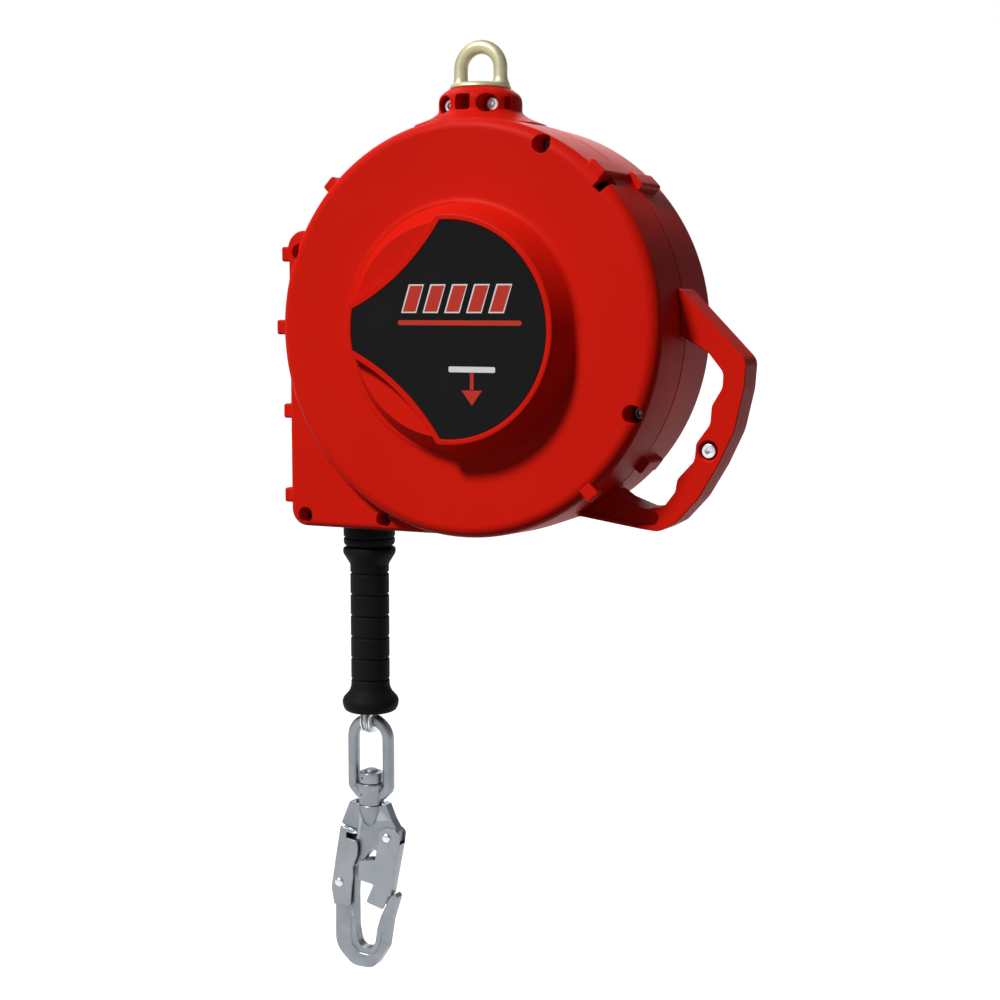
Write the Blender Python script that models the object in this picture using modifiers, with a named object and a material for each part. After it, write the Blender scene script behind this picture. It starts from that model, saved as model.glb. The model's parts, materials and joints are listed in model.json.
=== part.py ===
"""Self retracting lifeline: a steel cable on a sprung drum inside a red moulded casing.

World frame: metres, +Z up, front towards -Y.  The origin is the inner crown of the anchor eye,
the point that the whole block hangs from.
"""

import bpy
import bmesh
from math import acos, atan2, cos, pi, radians, sin, sqrt, tan
from mathutils import Matrix, Vector

MM = 0.001
GAP = 0.3 * MM                      # clearance kept between touching pieces

# ---- driving dimensions -------------------------------------------------------------------------
DRUM_X = 7.5 * MM                   # drum axis (along Y), from the eye's inner crown
DRUM_Z = -198 * MM

# moulded casing
WALL_RADIUS = 151 * MM              # side wall at the parting plane
FRONT_EDGE, REAR_EDGE = 149.2 * MM, 150.2 * MM      # side wall beside the faces, after draft
FRONT_DEPTH, REAR_DEPTH = 50 * MM, 60 * MM          # parting plane to the shell's flat face
FRONT_FILLET, REAR_FILLET = 8 * MM, 5 * MM
WALL = 4 * MM
BOSS_FOOT_RADIUS = 89 * MM
BOSS_TOP_RADIUS = 81 * MM
FRONT_BOSS_DEPTH, REAR_BOSS_DEPTH = 72 * MM, 71 * MM
TRIM = 6 * MM                       # a shell's pieces run past the parting plane, then are trimmed
LABEL_RADIUS = 76 * MM
LABEL_THICKNESS = 0.8 * MM
LABEL_RECESS = 1.2 * MM
BITE_RADIUS = 168 * MM              # two shallow arcs bitten out of the front boss
BITE_CENTRE = (-147 * MM, 168 * MM)
BITE_FLOOR = 62 * MM
BLOCK_LEFT = -152 * MM              # square corner that carries the cable outlet
BLOCK_BOTTOM = -149.2 * MM
BLOCK_TOP = 58 * MM
BLOCK_RIGHT = -8 * MM
BLOCK_DEPTH = 35 * MM
BLOCK_CORNER = 13 * MM
LUG_WIDTH = 11 * MM                 # closing lugs along the parting line
LEFT_LUGS = (                       # (up, reach from the drum axis)
    (55.5 * MM, 157.2 * MM), (1 * MM, 162.2 * MM), (-62 * MM, 157.2 * MM), (-126 * MM, 157.2 * MM),
)
FRONT_LUGS = ((136.5, 40 * MM),)     # degrees from +X, depth
REAR_LUGS = ((136.5, 42 * MM), (-38.75, 30 * MM))
DRUM_LUG_OUT = 5.5 * MM
RIB_ANGLE, REAR_RIB_ANGLE = 47, 43   # tall closing rib, upper right
RIB_REACH, REAR_RIB_REACH = 48 * MM, 40 * MM
RIB_OUT, REAR_RIB_OUT = 2.5 * MM, 5 * MM
RIB_WIDTH = 14 * MM
RIM_CLIP_ANGLE = -48.5

# casing screws: (across, up, seat depth, recess radius)
SCREW_RING = 142 * MM
DRUM_SEAT, BLOCK_SEAT = 26 * MM, 15 * MM
DRUM_RECESS, BLOCK_RECESS = 6.6 * MM, 6 * MM
CASING_SCREWS = (
    (SCREW_RING * cos(radians(64)), SCREW_RING * sin(radians(64)), DRUM_SEAT, DRUM_RECESS),
    (SCREW_RING * cos(radians(-23.5)), SCREW_RING * sin(radians(-23.5)), DRUM_SEAT, DRUM_RECESS),
    (-139.5 * MM, 56.7 * MM, BLOCK_SEAT, BLOCK_RECESS),
    (-138.5 * MM, -140.5 * MM, BLOCK_SEAT, BLOCK_RECESS),
    (-71 * MM, -140.5 * MM, BLOCK_SEAT, BLOCK_RECESS),
)
EAR = (-136.5 * MM, 59 * MM)        # round ear at the top of the square corner
EAR_RADIUS = 13.6 * MM
SCREW_HEAD_RADIUS = 5 * MM
SCREW_HEAD_HEIGHT = 6 * MM
SCREW_SHANK_RADIUS = 3 * MM
SCREW_LENGTH = 44 * MM
HEX_RADIUS = 2.9 * MM
POST_RADIUS = 9.5 * MM

# neck under the anchor eye (turned about the vertical anchor axis, x = 0)
NECK_TOP = 172.7 * MM
NECK_BOLT_X = 16.6 * MM
NECK_BOLT_Z = 160.3 * MM
NECK_BOLT_SEAT = 10 * MM
NECK_RECESS = 6.6 * MM
STEM_RADIUS = 7.5 * MM
STEM_BORE_RADIUS = 8.1 * MM

# anchor eye, heights above the drum axis
EYE_BAR_RADIUS = 5 * MM
EYE_HALF_WIDTH = 15.9 * MM          # to the bar's centreline
EYE_CROWN = 198 * MM                # inner crown
EYE_FLANGE_RADIUS = 22.3 * MM
EYE_FLANGE_THICKNESS = 3.9 * MM

# load frame and reel, distances from the mid plane
PLATE_FACE = 25.5 * MM
PLATE_THICKNESS = 3 * MM
SHAFT_RADIUS = 8 * MM
SHAFT_BORE = SHAFT_RADIUS + GAP
CABLE_RADIUS = 2.4 * MM
CABLE_LAYERS = 3
CABLE_LINE = 103 * MM               # the outer layer's centreline, where the cable leaves
PACK_HALF_WIDTH = 21.8 * MM
REEL_RADIUS = CABLE_LINE - (2 * CABLE_LAYERS - 1) * CABLE_RADIUS - GAP
FLANGE_RADIUS = 109 * MM

# mainspring case, in front of the load frame
CASE_RADIUS = 70 * MM
CASE_LOW = PLATE_FACE + PLATE_THICKNESS + GAP
CASE_HIGH = 55 * MM

# brake
RING_ROOT_RADIUS = 56 * MM
RING_TIP_RADIUS = 50 * MM
RING_RADIUS = 63 * MM
RING_TEETH = 12
PAWL_PIVOT_RADIUS = 26 * MM
PAWL_LENGTH = 29 * MM
PAWL_REST_ANGLE = 70                # degrees between the pawl and the radius through its pivot

# cable end, heights above the drum axis
NOZZLE_BOTTOM = -166 * MM
NOZZLE_RADIUS, NOZZLE_WAIST = 19.8 * MM, 16.8 * MM
GRIP_TOP = -167 * MM
GRIP_BOTTOM = -295 * MM
GRIP_RADIUS = 14.9 * MM
GRIP_GROOVES = 6
GROOVE_TOP = -187 * MM
GROOVE_PITCH = 16.6 * MM
LEAD_TOP = 95 * MM
LINK_PIVOT = -302.3 * MM
LINK_BAR_RADIUS = 4.2 * MM
LINK_HALF_WIDTH = 15.3 * MM
LINK_BOTTOM = -362 * MM
LINK_CHAMFER = 6 * MM                # lower corners of the link
EYE_LOOP_RADIUS = 8.8 * MM          # cable centreline round the thimble
THIMBLE_FLANGE, THIMBLE_HALF_WIDTH = 10.5 * MM, 4.2 * MM
COLLAR_RADIUS = 10.5 * MM
COLLAR_TOP = -353 * MM
COLLAR_BOTTOM = -369.5 * MM
CAP_RADIUS, CAP_TOP = 9.2 * MM, -344 * MM
SHANK_RADIUS = 5.2 * MM              # the hook's shank in the collar and the cap

# snap hook, (across, up) from the cable line and the drum axis
HOOK_HALF_THICKNESS = 4.2 * MM
GATE_PIVOT = (16 * MM, -394 * MM)
LEVER_PIVOT = (-25.5 * MM, -434.5 * MM)

FINE = 44                           # steps round the casing
ROUND = 18                          # steps round middling pieces
SMALL = 10                          # steps round bolts and pins
LONG_CHAINS = ("front_", "rear_", "hook_body", "handle_")

# ---- scene and collections ----------------------------------------------------------------------
for old in list(bpy.data.objects):
    bpy.data.objects.remove(old, do_unlink=True)

parts = bpy.data.collections.new("self_retracting_lifeline")
cutters = bpy.data.collections.new("cutters")
bpy.context.scene.collection.children.link(parts)
bpy.context.scene.collection.children.link(cutters)


def frame_empty(name, location, rotation=(0, 0, 0), parent=None):
    """An empty that carries a joint's axis or a group's own axes."""
    empty = bpy.data.objects.new(name, None)
    empty.empty_display_size = 0.02
    empty.location = location
    empty.rotation_euler = rotation
    empty.parent = parent
    parts.objects.link(empty)
    return empty


FACING_FRONT = (pi / 2, 0, 0)       # local x across, local y up, local z to the front
drum_axis = frame_empty("drum_axis", (DRUM_X, 0, DRUM_Z), FACING_FRONT)
anchor_axis = frame_empty("anchor_axis", (0, 0, DRUM_Z))
cable_line = frame_empty("cable_line", (DRUM_X - CABLE_LINE, 0, DRUM_Z))


# ---- materials ----------------------------------------------------------------------------------
def material(name, colour, roughness, metallic=0.0):
    made = bpy.data.materials.new(name)
    made.use_nodes = True
    shader = made.node_tree.nodes["Principled BSDF"]
    shader.inputs["Base Color"].default_value = (*colour, 1)
    shader.inputs["Roughness"].default_value = roughness
    shader.inputs["Metallic"].default_value = metallic
    return made


RED = material("red_plastic", (0.74, 0.02, 0.01), 0.42)
LABEL_BLACK = material("label_black", (0.012, 0.011, 0.011), 0.4)
LABEL_GREY = material("label_grey", (0.55, 0.55, 0.53), 0.5)
RUBBER = material("black_rubber", (0.01, 0.01, 0.01), 0.6)
YELLOW_ZINC = material("yellow_zinc", (0.5, 0.46, 0.24), 0.35, 1.0)
FORGED = material("forged_steel", (0.33, 0.35, 0.37), 0.42, 1.0)
SHEET = material("sheet_steel", (0.4, 0.42, 0.44), 0.36, 1.0)
ZINC = material("zinc_plate", (0.7, 0.7, 0.71), 0.3, 1.0)
WIRE = material("wire_rope", (0.5, 0.5, 0.5), 0.38, 1.0)
ALUMINIUM = material("cast_aluminium", (0.6, 0.6, 0.61), 0.45, 1.0)
SPRING_STEEL = material("spring_steel", (0.16, 0.17, 0.2), 0.35, 1.0)
BRONZE = material("bronze", (0.5, 0.33, 0.14), 0.4, 1.0)
LINING = material("friction_lining", (0.1, 0.08, 0.06), 0.9)


# ---- outlines -----------------------------------------------------------------------------------
def rounded(corners, steps=4):
    """Outline through corners (x, y, radius), each turned into an arc of its radius."""
    points = []
    count = len(corners)
    for index, (x, y, radius) in enumerate(corners):
        here = Vector((x, y))
        before = Vector(corners[index - 1][:2]) - here
        after = Vector(corners[(index + 1) % count][:2]) - here
        if radius == 0:
            points.append((x, y))
            continue
        before.normalize()
        after.normalize()
        half = acos(max(-1.0, min(1.0, before.dot(after)))) / 2
        centre = here + (before + after).normalized() * (radius / sin(half))
        start = here + before * (radius / tan(half)) - centre
        turn = pi - 2 * half
        side = 1 if before.x * after.y - before.y * after.x < 0 else -1
        for step in range(steps + 1):
            angle = side * turn * step / steps
            arm = Vector((start.x * cos(angle) - start.y * sin(angle),
                          start.x * sin(angle) + start.y * cos(angle)))
            points.append(tuple(centre + arm))
    return points


def arc(centre, radius, start, end, steps):
    """Points on an arc, angles in degrees."""
    angles = [radians(start + (end - start) * step / steps) for step in range(steps + 1)]
    return [(centre[0] + radius * cos(angle), centre[1] + radius * sin(angle)) for angle in angles]


def circle(radius, steps, centre=(0, 0)):
    return arc(centre, radius, 0, 360, steps)[:-1]


def moved(points, offset):
    """Outline with its zero moved to offset; radii are kept."""
    return [(point[0] - offset[0], point[1] - offset[1], *point[2:]) for point in points]


# ---- solids -------------------------------------------------------------------------------------
def place(obj, parent, location, rotation, finish, as_cutter):
    obj.parent = parent
    obj.location = location
    obj.rotation_euler = rotation
    if as_cutter:
        cutters.objects.link(obj)
        obj.hide_render = True
        obj.display_type = "WIRE"
    else:
        parts.objects.link(obj)
        obj.data.materials.append(finish)
    return obj


def turned(name, profile, parent, finish=None, location=(0, 0, 0), rotation=(0, 0, 0),
           steps=ROUND, closed=False, as_cutter=False):
    """A profile of (radius, height) turned about local Z; its outer side runs downwards."""
    mesh = bpy.data.meshes.new(name)
    edges = [(index, index + 1) for index in range(len(profile) - 1)]
    if closed:
        edges.append((len(profile) - 1, 0))
    mesh.from_pydata([(radius, 0, height) for radius, height in profile], edges, [])
    obj = place(bpy.data.objects.new(name, mesh), parent, location, rotation, finish, as_cutter)
    screw = obj.modifiers.new("turn", "SCREW")
    screw.axis = "Z"
    screw.steps = steps
    screw.render_steps = steps
    screw.use_merge_vertices = True
    screw.merge_threshold = 0.00001
    screw.use_smooth_shade = False
    return obj


def rod(name, radius, bottom, top, parent, **more):
    return turned(name, [(0, top), (radius, top), (radius, bottom), (0, bottom)], parent, **more)


def ring(name, inner, outer, bottom, top, parent, **more):
    profile = [(outer, top), (outer, bottom), (inner, bottom), (inner, top)]
    return turned(name, profile, parent, closed=True, **more)


def block(name, low, high, parent, finish=None, location=(0, 0, 0), rotation=(0, 0, 0),
          as_cutter=False, bevel=0):
    mesh = bpy.data.meshes.new(name)
    shape = bmesh.new()
    size = [high[axis] - low[axis] for axis in range(3)]
    middle = [(high[axis] + low[axis]) / 2 for axis in range(3)]
    grow = Matrix.Translation(middle) @ Matrix.Diagonal((*size, 1))
    bmesh.ops.create_cube(shape, size=1, matrix=grow)
    shape.to_mesh(mesh)
    shape.free()
    obj = place(bpy.data.objects.new(name, mesh), parent, location, rotation, finish, as_cutter)
    if bevel:
        soften(obj, bevel)
    return obj


def to_mesh(curve_object, name, finish=None, as_cutter=False):
    """The curve's solid as a mesh object in the same place; the curve is removed."""
    bpy.context.view_layer.update()
    graph = bpy.context.evaluated_depsgraph_get()
    mesh = bpy.data.meshes.new_from_object(curve_object.evaluated_get(graph))
    shape = bmesh.new()
    shape.from_mesh(mesh)
    bmesh.ops.remove_doubles(shape, verts=shape.verts, dist=0.00001)
    bmesh.ops.recalc_face_normals(shape, faces=shape.faces)
    shape.to_mesh(mesh)
    shape.free()
    mesh.name = name
    mesh.materials.clear()
    obj = bpy.data.objects.new(name, mesh)
    parent, world = curve_object.parent, curve_object.matrix_world.copy()
    place(obj, parent, (0, 0, 0), (0, 0, 0), finish, as_cutter)
    obj.matrix_world = world
    bpy.data.objects.remove(curve_object, do_unlink=True)
    return obj


def plate(name, outlines, low, high, parent, finish=None, location=(0, 0, 0),
          rotation=(0, 0, 0), as_cutter=False, bevel=0):
    """Flat outlines (the first is the edge, the others are holes) between local z low and high."""
    curve = bpy.data.curves.new(name, "CURVE")
    curve.dimensions = "2D"
    curve.fill_mode = "BOTH"
    curve.extrude = (high - low) / 2
    for outline in outlines:
        spline = curve.splines.new("POLY")
        spline.points.add(len(outline) - 1)
        for point, (x, y) in zip(spline.points, outline):
            point.co = (x, y, 0, 1)
        spline.use_cyclic_u = True
    drawn = bpy.data.objects.new(name + "_outline", curve)
    parts.objects.link(drawn)
    drawn.parent = parent
    turn = Matrix.LocRotScale(location, None, None) @ euler(rotation)
    drawn.matrix_local = turn @ Matrix.Translation((0, 0, (high + low) / 2))
    obj = to_mesh(drawn, name, finish, as_cutter)
    rebase(obj, parent, location, rotation)
    if bevel:
        soften(obj, bevel)
    return obj


def euler(rotation):
    return Matrix.Rotation(rotation[2], 4, "Z") @ Matrix.Rotation(rotation[1], 4, "Y") \
        @ Matrix.Rotation(rotation[0], 4, "X")


def rebase(obj, parent, location, rotation):
    """Move the object's origin to location and rotation under its parent; the solid stays put."""
    bpy.context.view_layer.update()
    base = parent.matrix_world if parent else Matrix.Identity(4)
    wanted = base @ Matrix.Translation(location) @ euler(rotation)
    obj.data.transform(wanted.inverted() @ obj.matrix_world)
    obj.parent = parent
    obj.matrix_parent_inverse = Matrix.Identity(4)
    obj.location = location
    obj.rotation_euler = rotation
    obj.scale = (1, 1, 1)
    bpy.context.view_layer.update()


def soften(obj, width, angle=40, segments=1):
    bevel = obj.modifiers.new("soft_edges", "BEVEL")
    bevel.width = width
    bevel.segments = segments
    bevel.limit_method = "ANGLE"
    bevel.angle_limit = radians(angle)
    bevel.use_clamp_overlap = True
    return bevel


def tube(name, points, radius, parent, finish, location=(0, 0, 0), closed=False, sides=2):
    """A round bar along points; its ends are filled."""
    curve = bpy.data.curves.new(name, "CURVE")
    curve.dimensions = "3D"
    curve.bevel_depth = radius
    curve.bevel_resolution = sides
    curve.use_fill_caps = True
    spline = curve.splines.new("POLY")
    spline.points.add(len(points) - 1)
    for point, place_at in zip(spline.points, points):
        point.co = (*place_at, 1)
    spline.use_cyclic_u = closed
    drawn = bpy.data.objects.new(name + "_path", curve)
    parts.objects.link(drawn)
    drawn.parent = parent
    drawn.location = location
    obj = to_mesh(drawn, name, finish)
    rebase(obj, parent, location, (0, 0, 0))
    return obj


def combine(obj, other, operation):
    """EXACT leaves open edges on the long chains of cuts, where near-flush walls meet."""
    change = obj.modifiers.new(operation.lower(), "BOOLEAN")
    change.operation = operation
    change.solver = "MANIFOLD" if obj.name.startswith(LONG_CHAINS) else "EXACT"
    change.object = other
    return obj


def join(obj, *others):
    for other in others:
        combine(obj, other, "UNION")
    return obj


def cut(obj, *others):
    for other in others:
        combine(obj, other, "DIFFERENCE")
    return obj


# ---- casing shells ------------------------------------------------------------------------------
def shell_profile(depth, boss_depth, edge, fillet):
    """Outer skin of one shell, from the boss top down to the parting plane."""
    return [
        (0, boss_depth - LABEL_RECESS),
        (LABEL_RADIUS + GAP, boss_depth - LABEL_RECESS),
        (LABEL_RADIUS + GAP, boss_depth),
        (BOSS_TOP_RADIUS - 1.5 * MM, boss_depth),
        (BOSS_TOP_RADIUS, boss_depth - 1.5 * MM),
        (BOSS_FOOT_RADIUS, depth + 2 * MM),
        (BOSS_FOOT_RADIUS + 3 * MM, depth),
        *arc((edge - fillet, depth - fillet), fillet, 90, 0, 2),
        (WALL_RADIUS, 0),
        (WALL_RADIUS, -TRIM),
        (0, -TRIM),
    ]


def hollow_profile(depth, boss_depth, edge):
    """Inside of one shell, one wall thickness in from the skin."""
    return [
        (0, boss_depth - WALL - LABEL_RECESS),
        (BOSS_TOP_RADIUS - WALL - 4 * MM, boss_depth - WALL - LABEL_RECESS),
        (BOSS_FOOT_RADIUS - WALL, depth - WALL),
        (edge - WALL - 5 * MM, depth - WALL),
        (edge - WALL, depth - WALL - 5 * MM),
        (WALL_RADIUS - WALL, 0),
        (WALL_RADIUS - WALL, -2 * TRIM),
        (0, -2 * TRIM),
    ]


def block_outline(inset):
    """Square corner of the casing; inset gives the hollow inside it."""
    radius = BLOCK_CORNER - inset
    left, bottom = BLOCK_LEFT + inset, BLOCK_BOTTOM + inset
    return rounded([
        (left, BLOCK_TOP - inset, 0),
        (left, bottom, radius),
        (BLOCK_RIGHT - inset, bottom, 0),
        (BLOCK_RIGHT - inset, -100 * MM, 0),
        (-100 * MM, BLOCK_TOP - inset, 0),
    ], 5)


def neck_profile():
    """Skin of the neck: a wide foot, a bulge round the bolts and a narrower top."""
    skin = [(22.2, 172.7), (25.5, 170.6), (28.5, 168.2), (30.1, 165), (30.4, 156.7), (32, 154.3),
            (34.5, 152.4), (40.8, 149.3), (48, 146.5), (49.5, 143.5), (49.5, 136.5)]
    return [(0, NECK_TOP), *((x * MM, z * MM) for x, z in skin), (0, 136.5 * MM)]


def neck_solid(name, side):
    """Neck with its bolt holes and the moulded pockets between the bolts."""
    neck = turned(name, neck_profile(), anchor_axis, rotation=(0, 0, radians(96)), steps=24,
                  as_cutter=True)
    for index, x in enumerate((-NECK_BOLT_X, NECK_BOLT_X)):
        hole = rod(f"{name}_hole_{index}", SCREW_SHANK_RADIUS + GAP, -0.02, 0.016, anchor_axis,
                   steps=SMALL, location=(x, 0, NECK_BOLT_Z), rotation=(-pi / 2, 0, 0),
                   as_cutter=True)
        cut(neck, hole)
        if side > 0:
            recess = rod(f"{name}_recess_{index}", NECK_RECESS, -0.06, -NECK_BOLT_SEAT,
                         anchor_axis, steps=SMALL, location=(x, 0, NECK_BOLT_Z),
                         rotation=(-pi / 2, 0, 0), as_cutter=True)
            cut(neck, recess)
    for angle in (-24, 24, 156, 204):
        pocket = block(f"{name}_side_pocket_{angle}", (26.6 * MM, -3 * MM, 156.6 * MM),
                       (60 * MM, 3 * MM, 165.3 * MM), anchor_axis,
                       rotation=(0, 0, radians(angle)), as_cutter=True)
        cut(neck, pocket)
    window = block(name + "_window", (-5.7 * MM, 13 * MM, 156.2 * MM),
                   (5.7 * MM, 60 * MM, 167 * MM), anchor_axis,
                   rotation=(0, 0, pi if side > 0 else 0), as_cutter=True)
    cut(neck, window)
    return neck


def boss_bite(name, upper, radius, floor):
    """Shallow arc taken out of the front boss, above (1) or below (-1) the drum axis."""
    return rod(name, radius, floor, 0.09, drum_axis, steps=64,
               location=(BITE_CENTRE[0], upper * BITE_CENTRE[1], 0), as_cutter=True)


def shell_half(name, side):
    """One shell. side is +1 for the front half and -1 for the rear half."""
    front = side > 0
    facing = (0, 0, 0) if front else (0, pi, 0)
    depth = FRONT_DEPTH if front else REAR_DEPTH
    boss = FRONT_BOSS_DEPTH if front else REAR_BOSS_DEPTH
    edge = FRONT_EDGE if front else REAR_EDGE
    fillet = FRONT_FILLET if front else REAR_FILLET
    tag = name.split("_")[0]

    def across(points):
        """The rear shell's local x runs the other way."""
        return [(side * x, y) for x, y in points][::side]

    shell = turned(name, shell_profile(depth, boss, edge, fillet), drum_axis, RED, rotation=facing,
                   steps=FINE)

    corner = plate(tag + "_corner", [across(block_outline(0))], -TRIM - MM, BLOCK_DEPTH,
                   drum_axis, rotation=facing, as_cutter=True, bevel=2 * MM)
    ear = rod(tag + "_ear", EAR_RADIUS, -TRIM - 2 * MM, BLOCK_DEPTH + 3 * MM, drum_axis, steps=20,
              location=(*EAR, 0), rotation=facing, as_cutter=True)
    neck = neck_solid(tag + "_neck", side)
    join(shell, corner, ear, neck)

    half = LUG_WIDTH / 2
    lugs = [((-reach, up - half), (BLOCK_LEFT + 8 * MM, up + half), BLOCK_DEPTH, 0)
            for up, reach in LEFT_LUGS]
    lugs += [((WALL_RADIUS - 7 * MM, -half), (WALL_RADIUS + DRUM_LUG_OUT, half), reach, angle)
             for angle, reach in (FRONT_LUGS if front else REAR_LUGS)]
    rib_out = RIB_OUT if front else REAR_RIB_OUT
    lugs.append(((WALL_RADIUS - 12 * MM, -RIB_WIDTH / 2), (WALL_RADIUS + rib_out, RIB_WIDTH / 2),
                 RIB_REACH if front else REAR_RIB_REACH, RIB_ANGLE if front else REAR_RIB_ANGLE))
    for index, (low, high, reach, angle) in enumerate(lugs):
        span = sorted((-side * (TRIM - 0.4 * MM * index), side * reach))
        lug = block(f"{tag}_lug_{index}", (*low, span[0]), (*high, span[1]), drum_axis,
                    rotation=(0, 0, radians(angle)), as_cutter=True)
        join(shell, lug)

    hollow = turned(tag + "_hollow", hollow_profile(depth, boss, edge), drum_axis, rotation=facing,
                    steps=FINE, as_cutter=True)
    corner_hollow = plate(tag + "_corner_hollow", [across(block_outline(WALL))], -TRIM - 3 * MM,
                          BLOCK_DEPTH - WALL, drum_axis, rotation=facing, as_cutter=True)
    join(hollow, corner_hollow)
    for index, screw in enumerate(CASING_SCREWS):
        post = rod(f"{tag}_post_{index}", POST_RADIUS, -0.08, 0.08, drum_axis, steps=12,
                   location=(*screw[:2], 0), as_cutter=True)
        cut(hollow, post)
    if front:
        for upper in (1, -1):
            cut(hollow, boss_bite(f"{tag}_bite_floor_{upper}", upper, BITE_RADIUS + WALL,
                                  BITE_FLOOR - WALL))
    far_side = block(tag + "_parting", (-0.3, -0.3, -0.1), (0.3, 0.3, GAP / 2), drum_axis,
                     rotation=facing, as_cutter=True)
    cut(shell, hollow, far_side)
    return shell


front_housing = shell_half("front_housing", 1)
rear_housing = shell_half("rear_housing", -1)

# rim clip on the front edge, lower right
rim_clip = block("rim_clip", (FRONT_EDGE - 6 * MM, -5 * MM, FRONT_DEPTH - 9 * MM),
                 (FRONT_EDGE + 5 * MM, 5 * MM, FRONT_DEPTH - 1 * MM), drum_axis,
                 rotation=(0, 0, radians(RIM_CLIP_ANGLE)), as_cutter=True)
join(front_housing, rim_clip)

# two bites out of the front boss, leaving lens-shaped steps
for upper in (1, -1):
    cut(front_housing, boss_bite(f"bite_{upper}", upper, BITE_RADIUS, BITE_FLOOR))

# pocket beside the tall rib
rib_pocket = block("rib_pocket", (WALL_RADIUS - 11 * MM, -14 * MM, FRONT_DEPTH - 17 * MM),
                   (WALL_RADIUS + 9 * MM, -RIB_WIDTH / 2, FRONT_DEPTH + 1 * MM), drum_axis,
                   rotation=(0, 0, radians(RIB_ANGLE)), as_cutter=True)
cut(front_housing, rib_pocket)

# screw recesses and screw holes
for index, (x, y, seat, radius) in enumerate(CASING_SCREWS):
    recess = rod(f"recess_{index}", radius, seat, 0.08, drum_axis, steps=SMALL,
                 location=(x, y, 0), as_cutter=True)
    hole = rod(f"screw_hole_{index}", SCREW_SHANK_RADIUS + GAP, seat - SCREW_LENGTH - 2 * MM,
               seat + MM, drum_axis, steps=SMALL, location=(x, y, 0), as_cutter=True)
    cut(front_housing, recess, hole)
    cut(rear_housing, hole)

# bore for the anchor's stem, half in each shell
stem_bore = rod("stem_bore", STEM_BORE_RADIUS, 0.11, 0.18, anchor_axis, steps=ROUND,
                as_cutter=True)
cut(front_housing, stem_bore)
cut(rear_housing, stem_bore)

# cable outlet, half in each shell
outlet = rod("cable_outlet", NOZZLE_WAIST + 0.4 * MM, -0.16, -0.14, cable_line, steps=ROUND,
             as_cutter=True)
cut(front_housing, outlet)
cut(rear_housing, outlet)


# ---- fasteners ----------------------------------------------------------------------------------
def cap_screw_mesh_profile(length):
    head, shank, radius = SCREW_HEAD_HEIGHT, SCREW_SHANK_RADIUS, SCREW_HEAD_RADIUS
    return [(0, head), (radius - 0.7 * MM, head), (radius, head - 0.7 * MM), (radius, GAP),
            (shank, GAP), (shank, -length), (0, -length)]


def cap_screw(name, length, parent, location, rotation=(0, 0, 0)):
    """Socket head cap screw: the head's seat is at local z = 0."""
    screw = turned(name, cap_screw_mesh_profile(length), parent, ZINC, location, rotation,
                   steps=SMALL)
    socket = rod(name + "_socket", HEX_RADIUS, 2.5 * MM, 8 * MM, parent, steps=6,
                 location=location, rotation=rotation, as_cutter=True)
    cut(screw, socket)
    return screw


def hex_nut(name, across_flats, thickness, bore, parent, finish, location, rotation=(0, 0, 0)):
    corner = across_flats / sqrt(3)
    return plate(name, [circle(corner, 6), circle(bore, 16)], 0, thickness, parent, finish,
                 location, rotation)


for index, screw in enumerate(CASING_SCREWS):
    cap_screw(f"housing_screw_{index + 1}", SCREW_LENGTH, drum_axis, screw[:3])
for index, x in enumerate((-NECK_BOLT_X, NECK_BOLT_X)):
    cap_screw(f"neck_bolt_{index + 1}", NECK_BOLT_SEAT + 14 * MM, anchor_axis,
              (x, -NECK_BOLT_SEAT, NECK_BOLT_Z), (pi / 2, 0, 0))


# ---- labels -------------------------------------------------------------------------------------
def label_disc(name, front, boss_depth, finish):
    facing = (0, 0, 0) if front else (0, pi, 0)
    floor = boss_depth - LABEL_RECESS + GAP
    disc = rod(name, LABEL_RADIUS, floor, floor + LABEL_THICKNESS, drum_axis, finish=finish,
               rotation=facing, steps=FINE)
    return disc


front_label = label_disc("front_label", True, FRONT_BOSS_DEPTH, LABEL_BLACK)
for upper in (1, -1):
    cut(front_label, boss_bite(f"label_bite_{upper}", upper, BITE_RADIUS + 1.5 * MM, BITE_FLOOR))
label_disc("rear_label", False, REAR_BOSS_DEPTH, LABEL_GREY)

# ---- handle: two halves joined by a cap screw ------------------------------------------------
HANDLE_FRONT, HANDLE_REAR = 10 * MM, 17 * MM        # thickness each side of the parting plane
HANDLE_SCREW = (172 * MM, -83 * MM)
HANDLE_SEAT, NUT_SEAT = 3.5 * MM, 10 * MM
HANDLE_RECESS = 6.6 * MM
GRIP_EDGE = [                        # finger side, from the upper root to the lower root, in mm
    (146, -1, 0), (155, -6, 5), (171, -15, 8), (182, -28.5, 7), (181.5, -38, 6), (174, -51.5, 6),
    (173, -64.5, 6), (163, -78, 6), (162, -90, 6), (149.5, -103.5, 6), (148, -112.5, 5),
    (140, -123, 5), (127, -126, 10), (109, -119.5, 6), (100, -113.5, 0),
]
OUTER_EDGE = [                       # outer side, from the lower root to the upper root, in mm
    (62, -127, 0), (70, -132.5, 0), (122, -140, 20), (136, -141.5, 12), (149, -134.5, 14),
    (165, -117, 30), (179, -93.5, 40), (190.5, -69, 40), (197, -40, 20), (198.5, -20, 10),
    (178, 1, 10), (151.5, 28, 3), (140, 32, 0),
]
ARM_POCKET = [
    (66, -128, 0), (97, -115, 1), (108, -122.3, 4), (127, -128.8, 6), (138, -127, 3),
    (134, -137, 4), (121, -137.3, 8), (74, -130.4, 0),
]


def scaled(corners):
    return [(x * MM, y * MM, radius * MM) for x, y, radius in corners]


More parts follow.
